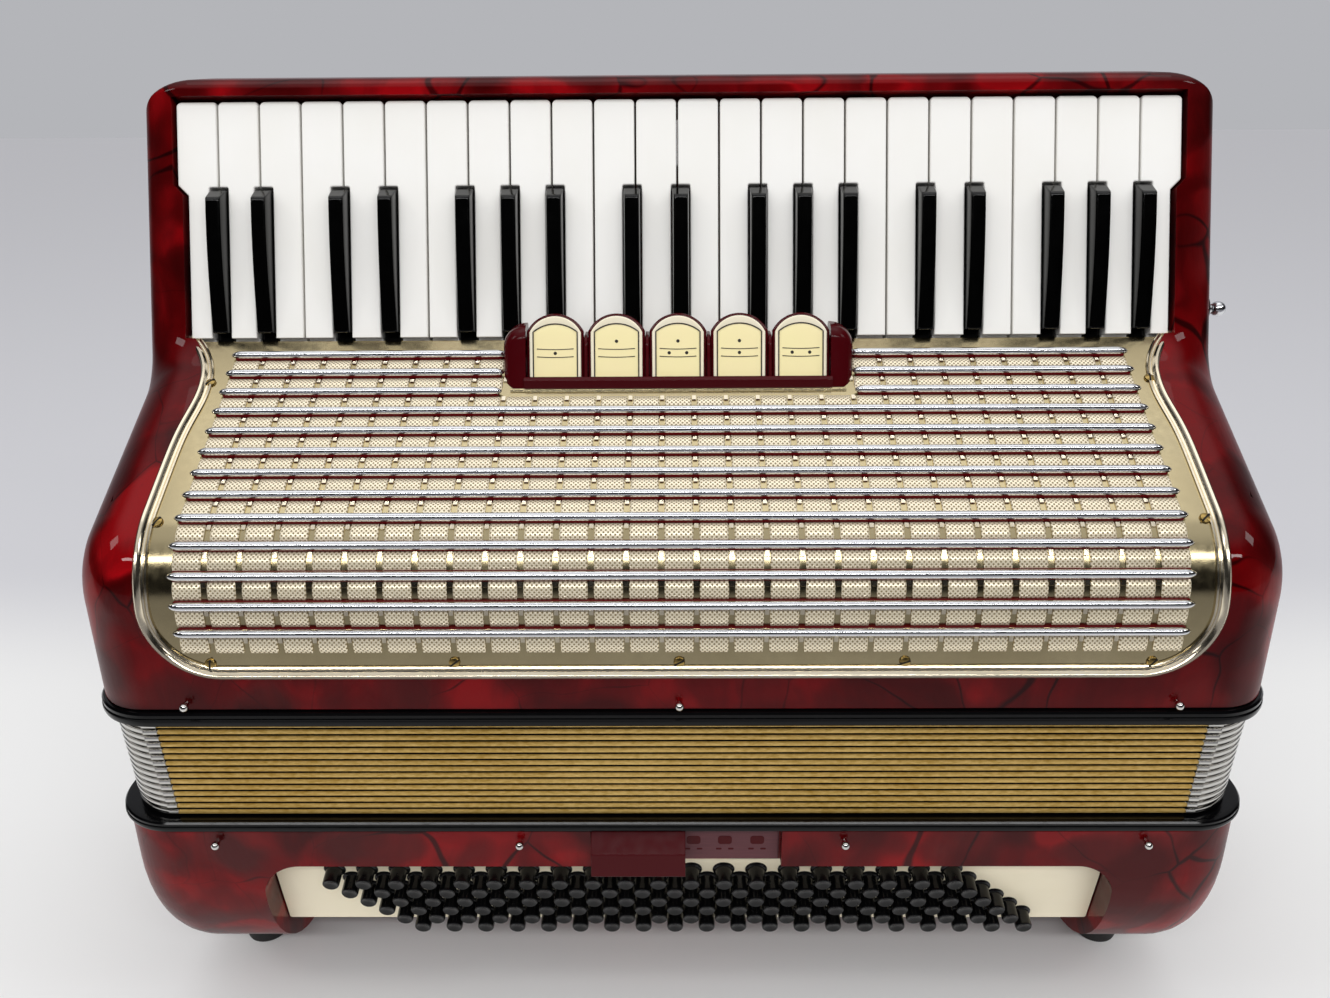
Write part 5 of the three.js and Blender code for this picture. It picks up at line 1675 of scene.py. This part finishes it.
def rounding(radius, depth):
    """How far an edge draws in at a depth below the top of a quarter-round of a radius."""
    rest = np.maximum(0, radius - depth)
    return radius - np.sqrt(radius**2 - rest**2)


KEY_LEVELS = (KEY_THICKNESS, 4, 2.5, 1.9, 1.4, 0.9, 0.6, 0.35, 0.15, 0.04, 0.0)
SIDE_ROUND = 0.7
INNER_ROUND = 0.4
LIP_ROUND = 2.5
SHARP_GAP = 0.5


def key_side(middle, side, at_end):
    """One long side of a white key in plan, from its lip inwards. It steps in beside a black key, and at an
    end of the keyboard beside the casing."""
    edge = middle + side * KEY_HALF
    corners = [(edge, KEY_LENGTH, 2.0)]
    sharps = [x for x in sharp_x if 0 < side * (x - middle) < KEY_PITCH]
    if at_end:
        notch = edge - side * END_NOTCH
        corners += [(edge, END_NOTCH_START, 0.6), (notch, END_NOTCH_START - END_NOTCH, 0.6)]
    elif sharps:
        notch = sharps[0] - side * SHARP_HALF - side * SHARP_GAP
        corners += [(edge, SHARP_LENGTH + 1, 0.6), (notch, SHARP_LENGTH + 1, 0.8)]
    else:
        notch = edge
    return corners + [(notch, -0.7, 0.4)]


def white_key(index):
    """The key's plan, filleted, drawn in level by level as quarter-rounds: larger at its lip."""
    middle = (index + 0.5) * KEY_PITCH - KEYBOARD_HALF
    left = key_side(middle, -1, index == 0)
    right = key_side(middle, 1, index == WHITE_COUNT - 1)
    corners = left + right[::-1]
    edges = [SIDE_ROUND] * (len(left) - 1) + [INNER_ROUND] + [SIDE_ROUND] * (len(right) - 1) + [LIP_ROUND]
    rings = []
    for depth in KEY_LEVELS:
        drawn = [rounding(radius, depth) for radius in edges]
        rings.append(on_keyboard(*filleted(inset(corners, drawn), 7).T, -depth))
    return loft(rings), tail(left[-1][0] + 0.3, right[-1][0] - 0.3)


SHARP_LEVELS = (
    (-KEY_THICKNESS, 3.80, 66.0, 1.5),
    (-0.5, 3.80, 66.0, 1.5),
    (1.0, 3.77, 65.4, 1.5),
    (3.0, 3.70, 64.0, 1.5),
    (5.0, 3.60, 62.6, 1.5),
    (6.4, 3.45, 61.7, 1.5),
    (7.1, 3.28, 61.2, 1.6),
    (7.6, 3.05, 60.7, 1.7),
    (7.88, 2.75, 60.2, 1.9),
    (8.0, 2.30, 59.4, 2.3),
)
SHARP_FALL = 0.78
SHARP_FALL_LENGTH = 58


def lengthened(outline):
    """An outline of four filleted corners with 10 more points along each of its two long sides."""
    corners = outline.reshape(4, -1, 2)
    share = np.linspace(0, 1, 12)[1:-1, None]
    sides = [corners[k][-1] * (1 - share) + corners[(k + 1) % 4][0] * share for k in range(4)]
    return np.vstack([corners[0], corners[1], sides[1], corners[2], corners[3], sides[3]])


def black_key(x):
    """The key's plan at each level, from a table of height, half width, outer end and inner end. Its top
    falls towards the grille as a parabola of the distance from its front."""
    rings = []
    for out, half, end, start in SHARP_LEVELS:
        inner = [(x - half, start, 0.8), (x + half, start, 0.8)]
        corners = inner + [(x + half, end, 0.7), (x - half, end, 0.7)]
        outline = lengthened(filleted(corners, 6))
        away = 1 - np.clip((outline[:, 1] - SHARP_INNER) / SHARP_FALL_LENGTH, 0, 1)
        height = out * (1 - SHARP_FALL * away**2) if out > 0 else out
        rings.append(on_keyboard(*outline.T, height))
    return loft(rings), tail(x - SHARP_HALF + 0.2, x + SHARP_HALF - 0.2)


white = white_plastic()
ebony = finish_of("polished_black_keys", "#020202", 0.09, Specular_IOR_Level=0.35)
hazed(ebony, 150.0, 3.0, 0.06, 0.18)
for index in range(WHITE_COUNT):
    name = f"white_key_{index + 1:02d}"
    made = piece(f"cast_{name}", white_key(index), [white], name)
    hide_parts(name)
for index, x in enumerate(sharp_x):
    name = f"black_key_{index + 1:02d}"
    made = piece(f"cast_{name}", black_key(x), [ebony], name)
    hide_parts(name)
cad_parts["key_axle"].data.materials.clear()
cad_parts["key_axle"].data.materials.append(nickel)


# Fittings
# Ball-headed pins that lock the bellows frames to the casings, and two strap brackets: a chromed stud on a
# black base, screwed to the casing's ends.
PIN_BALL = 1.9
PIN_RISE = 2.9
STUD_BALL = 3.6
STUD_RISE = 8.2


def ball(radius, rise, angles):
    """The profile of a ball on a turned shank: points of a circle about a height on the axis."""
    return [(radius * np.cos(angle), rise + radius * np.sin(angle)) for angle in angles]


def pin(place):
    """A turned pin: a shank and a ball on it."""
    shank = [(0.6, -3), (1.1, -3), (1.1, 0.8), (0.9, 1.4)]
    return turned(shank + ball(PIN_BALL, PIN_RISE, np.linspace(-1.0, np.pi / 2 - 0.08, 9)), 18, place)


def facing_front(x, height):
    """Places a turned body with its axis out of the casings' front."""
    return lambda a, b, c: np.stack([x + a, FRONT - c, height + b], -1)


def facing_back(x, height):
    """Places a turned body with its axis out of the back."""
    return lambda a, b, c: np.stack([x - a, BACK + c, height + b], -1)


def facing_side(side, depth, height):
    """Places a turned body with its axis out of an end, the right one or the left."""
    return lambda a, b, c: np.stack([side * (CASE_HALF + c), FRONT + depth + a, height + b], -1)


# The body, the pins' height on it, and their x along its front and its back.
PIN_ROWS = (("treble", 173.2, (-199.5, 0, 199.5)), ("bass", 104.8, (-197.5, -68, 70, 197.5)))
for body, height, row in PIN_ROWS:
    pins = [pin(facing(x, height)) for facing in (facing_front, facing_back) for x in row]
    pins += [pin(facing_side(side, DEPTH / 2, height)) for side in (-1, 1)]
    piece(f"{body}_frame_pins", pins, [nickel], body)

stud_profile = [(0.3, 1.2), (3.4, 1.2), (3.0, 2.4), (2.0, 3.2), (1.8, 5.4)]
stud_profile += ball(STUD_BALL, STUD_RISE, np.linspace(-0.9, 1.5, 11))
base_profile = [(0.3, -1), (7.5, -1), (7.5, 1.0), (7.0, 1.7), (0.3, 2.0)]
bracket_places = [facing_side(1, 130, 304), facing_side(-1, 165, 200)]
studs = [turned(stud_profile, 28, place) for place in bracket_places]
bases = [turned(base_profile, 32, place) for place in bracket_places]
piece("bracket_studs", studs, [chrome], "treble")
piece("bracket_bases", bases, [button_black], "treble")


# Camera, floor and lights
# The photographer stood in front and above. Soft boxes overhead and at the sides light a pale room.
def stand(thing, right, up, back, place):
    """Puts a camera or a light at a place in metres, with its own axes along three directions."""
    pose = np.eye(4)
    pose[:3] = np.column_stack([right, up, back, place])
    thing.matrix_world = pose.T.tolist()


CAMERA_PLACE = (-0.84, -481.5, 416.8)
CAMERA_TURN = (-0.639, 21.746, -0.457)
camera_data = bpy.data.cameras.new("camera")
camera_data.lens = 30.31
camera_data.sensor_width = 36
camera = linked("camera", camera_data)
bpy.context.scene.camera = camera
yaw, pitch, roll = np.radians(CAMERA_TURN)
ahead = np.array([np.sin(yaw) * np.cos(pitch), np.cos(yaw) * np.cos(pitch), -np.sin(pitch)])
level = np.array([np.cos(yaw), -np.sin(yaw), 0])
lift = np.cross(level, ahead)
camera_right = np.cos(roll) * level + np.sin(roll) * lift
camera_up = -np.sin(roll) * level + np.cos(roll) * lift
stand(camera, camera_right, camera_up, -ahead, np.array(CAMERA_PLACE) * MM)

floor_data = bpy.data.meshes.new("floor")
floor_data.from_pydata([(-6, -6, 0), (6, -6, 0), (6, 6, 0), (-6, 6, 0)], [], [(0, 1, 2, 3)])
floor = linked("floor", floor_data)


def pale_cloth():
    """The floor: white cloth round the object and grey behind, with painted shade in front: its front end is
    painted grey for the photographer's shade. Only the object's gloss and the soft light see that. The
    camera sees it pale."""
    made = finish_of("pale_floor_cloth", "#e9e8e8", 0.8)
    place = add(made, "TexCoord").outputs["Object"]
    depth = add(made, "SeparateXYZ", {0: place}).outputs[1]
    # Painted shade: the floor's front end is painted grey for the photographer's shade.
    near = add(made, "MapRange", {0: depth, 1: -0.22, 2: -0.5}, interpolation_type="SMOOTHSTEP").outputs[0]
    seen = add(made, "LightPath").outputs["Is Camera Ray"]
    front = add(made, "Mix", {0: seen, 6: "#86868a", 7: "#c8c8cc"}, data_type="RGBA").outputs[2]
    shade = add(made, "Mix", {0: near, 6: "#eeeeed", 7: front}, data_type="RGBA").outputs[2]
    far = add(made, "MapRange", {0: depth, 1: 0.18, 2: 0.42}, interpolation_type="SMOOTHSTEP").outputs[0]
    shade = add(made, "Mix", {0: far, 6: shade, 7: "#d0d0d4"}, data_type="RGBA").outputs[2]
    feed(made, Base_Color=shade)
    return made


floor_data.materials.append(pale_cloth())


def soft_box(name, place, aim, width, height, power):
    """A rectangular area light at a place, turned towards a point, both in metres."""
    light = bpy.data.lights.new(name, "AREA")
    light.shape = "RECTANGLE"
    light.size, light.size_y, light.energy = width, height, power
    back = unit(np.array(place, float) - np.array(aim, float))
    right = unit(np.cross([0, 1, 0.001], back))
    stand(linked(name, light), right, np.cross(back, right), back, place)


soft_box("front_strip", (0.0, -1.7, 1.585), (0, -0.09, 0.235), 2.8, 0.13, 18)
soft_box("left_box", (-1.5, -0.6, 1.4), (-0.24, -0.05, 0.2), 0.4, 0.3, 2)
soft_box("right_box", (1.5, -0.6, 1.4), (0.24, -0.05, 0.2), 0.4, 0.3, 2)
soft_box("overhead", (0.0, 0.1, 2.2), (0, 0, 0.3), 2.2, 0.9, 5)
world = bpy.data.worlds.new("room")
bpy.context.scene.world = world
world.use_nodes = True


def room_light():
    """The camera sees grey walls under a pale ceiling, and gloss sees them too, but with the dark end of the
    room that lies in front. The soft light on everything else is even, and paler from above."""
    axes = add(world, "SeparateXYZ", {0: add(world, "TexCoord").outputs["Generated"]}).outputs
    dark_end, ceiling, climb = [
        add(world, "MapRange", {0: axis, 1: low, 2: high}, interpolation_type="SMOOTHSTEP").outputs[0]
        for axis, low, high in ((axes[1], 0.78, 0.2), (axes[2], 0.6, 0.86), (axes[2], 0.0, 1.0))
    ]
    rays = add(world, "LightPath").outputs
    mirror_rays = {0: rays["Is Glossy Ray"], 1: rays["Is Transmission Ray"]}
    gloss = add(world, "Math", mirror_rays, operation="MAXIMUM").outputs[0]
    walls = add(world, "Mix", {0: dark_end, 6: "#b4b5b9", 7: "#0e0e10"}, data_type="RGBA").outputs[2]
    mirrored = add(world, "Mix", {0: ceiling, 6: walls, 7: "#dcdcde"}, data_type="RGBA").outputs[2]
    seen = add(world, "Mix", {0: ceiling, 6: "#b4b5b9", 7: "#dcdcde"}, data_type="RGBA").outputs[2]
    soft = add(world, "Mix", {0: climb, 6: "#c6c6c6", 7: "#ececee"}, data_type="RGBA").outputs[2]
    unseen = add(world, "Mix", {0: gloss, 6: soft, 7: mirrored}, data_type="RGBA").outputs[2]
    return add(world, "Mix", {0: rays["Is Camera Ray"], 6: unseen, 7: seen}, data_type="RGBA").outputs[2]


world.node_tree.links.new(room_light(), world.node_tree.nodes["Background"].inputs["Color"])
bpy.context.scene.view_settings.view_transform = "Standard"
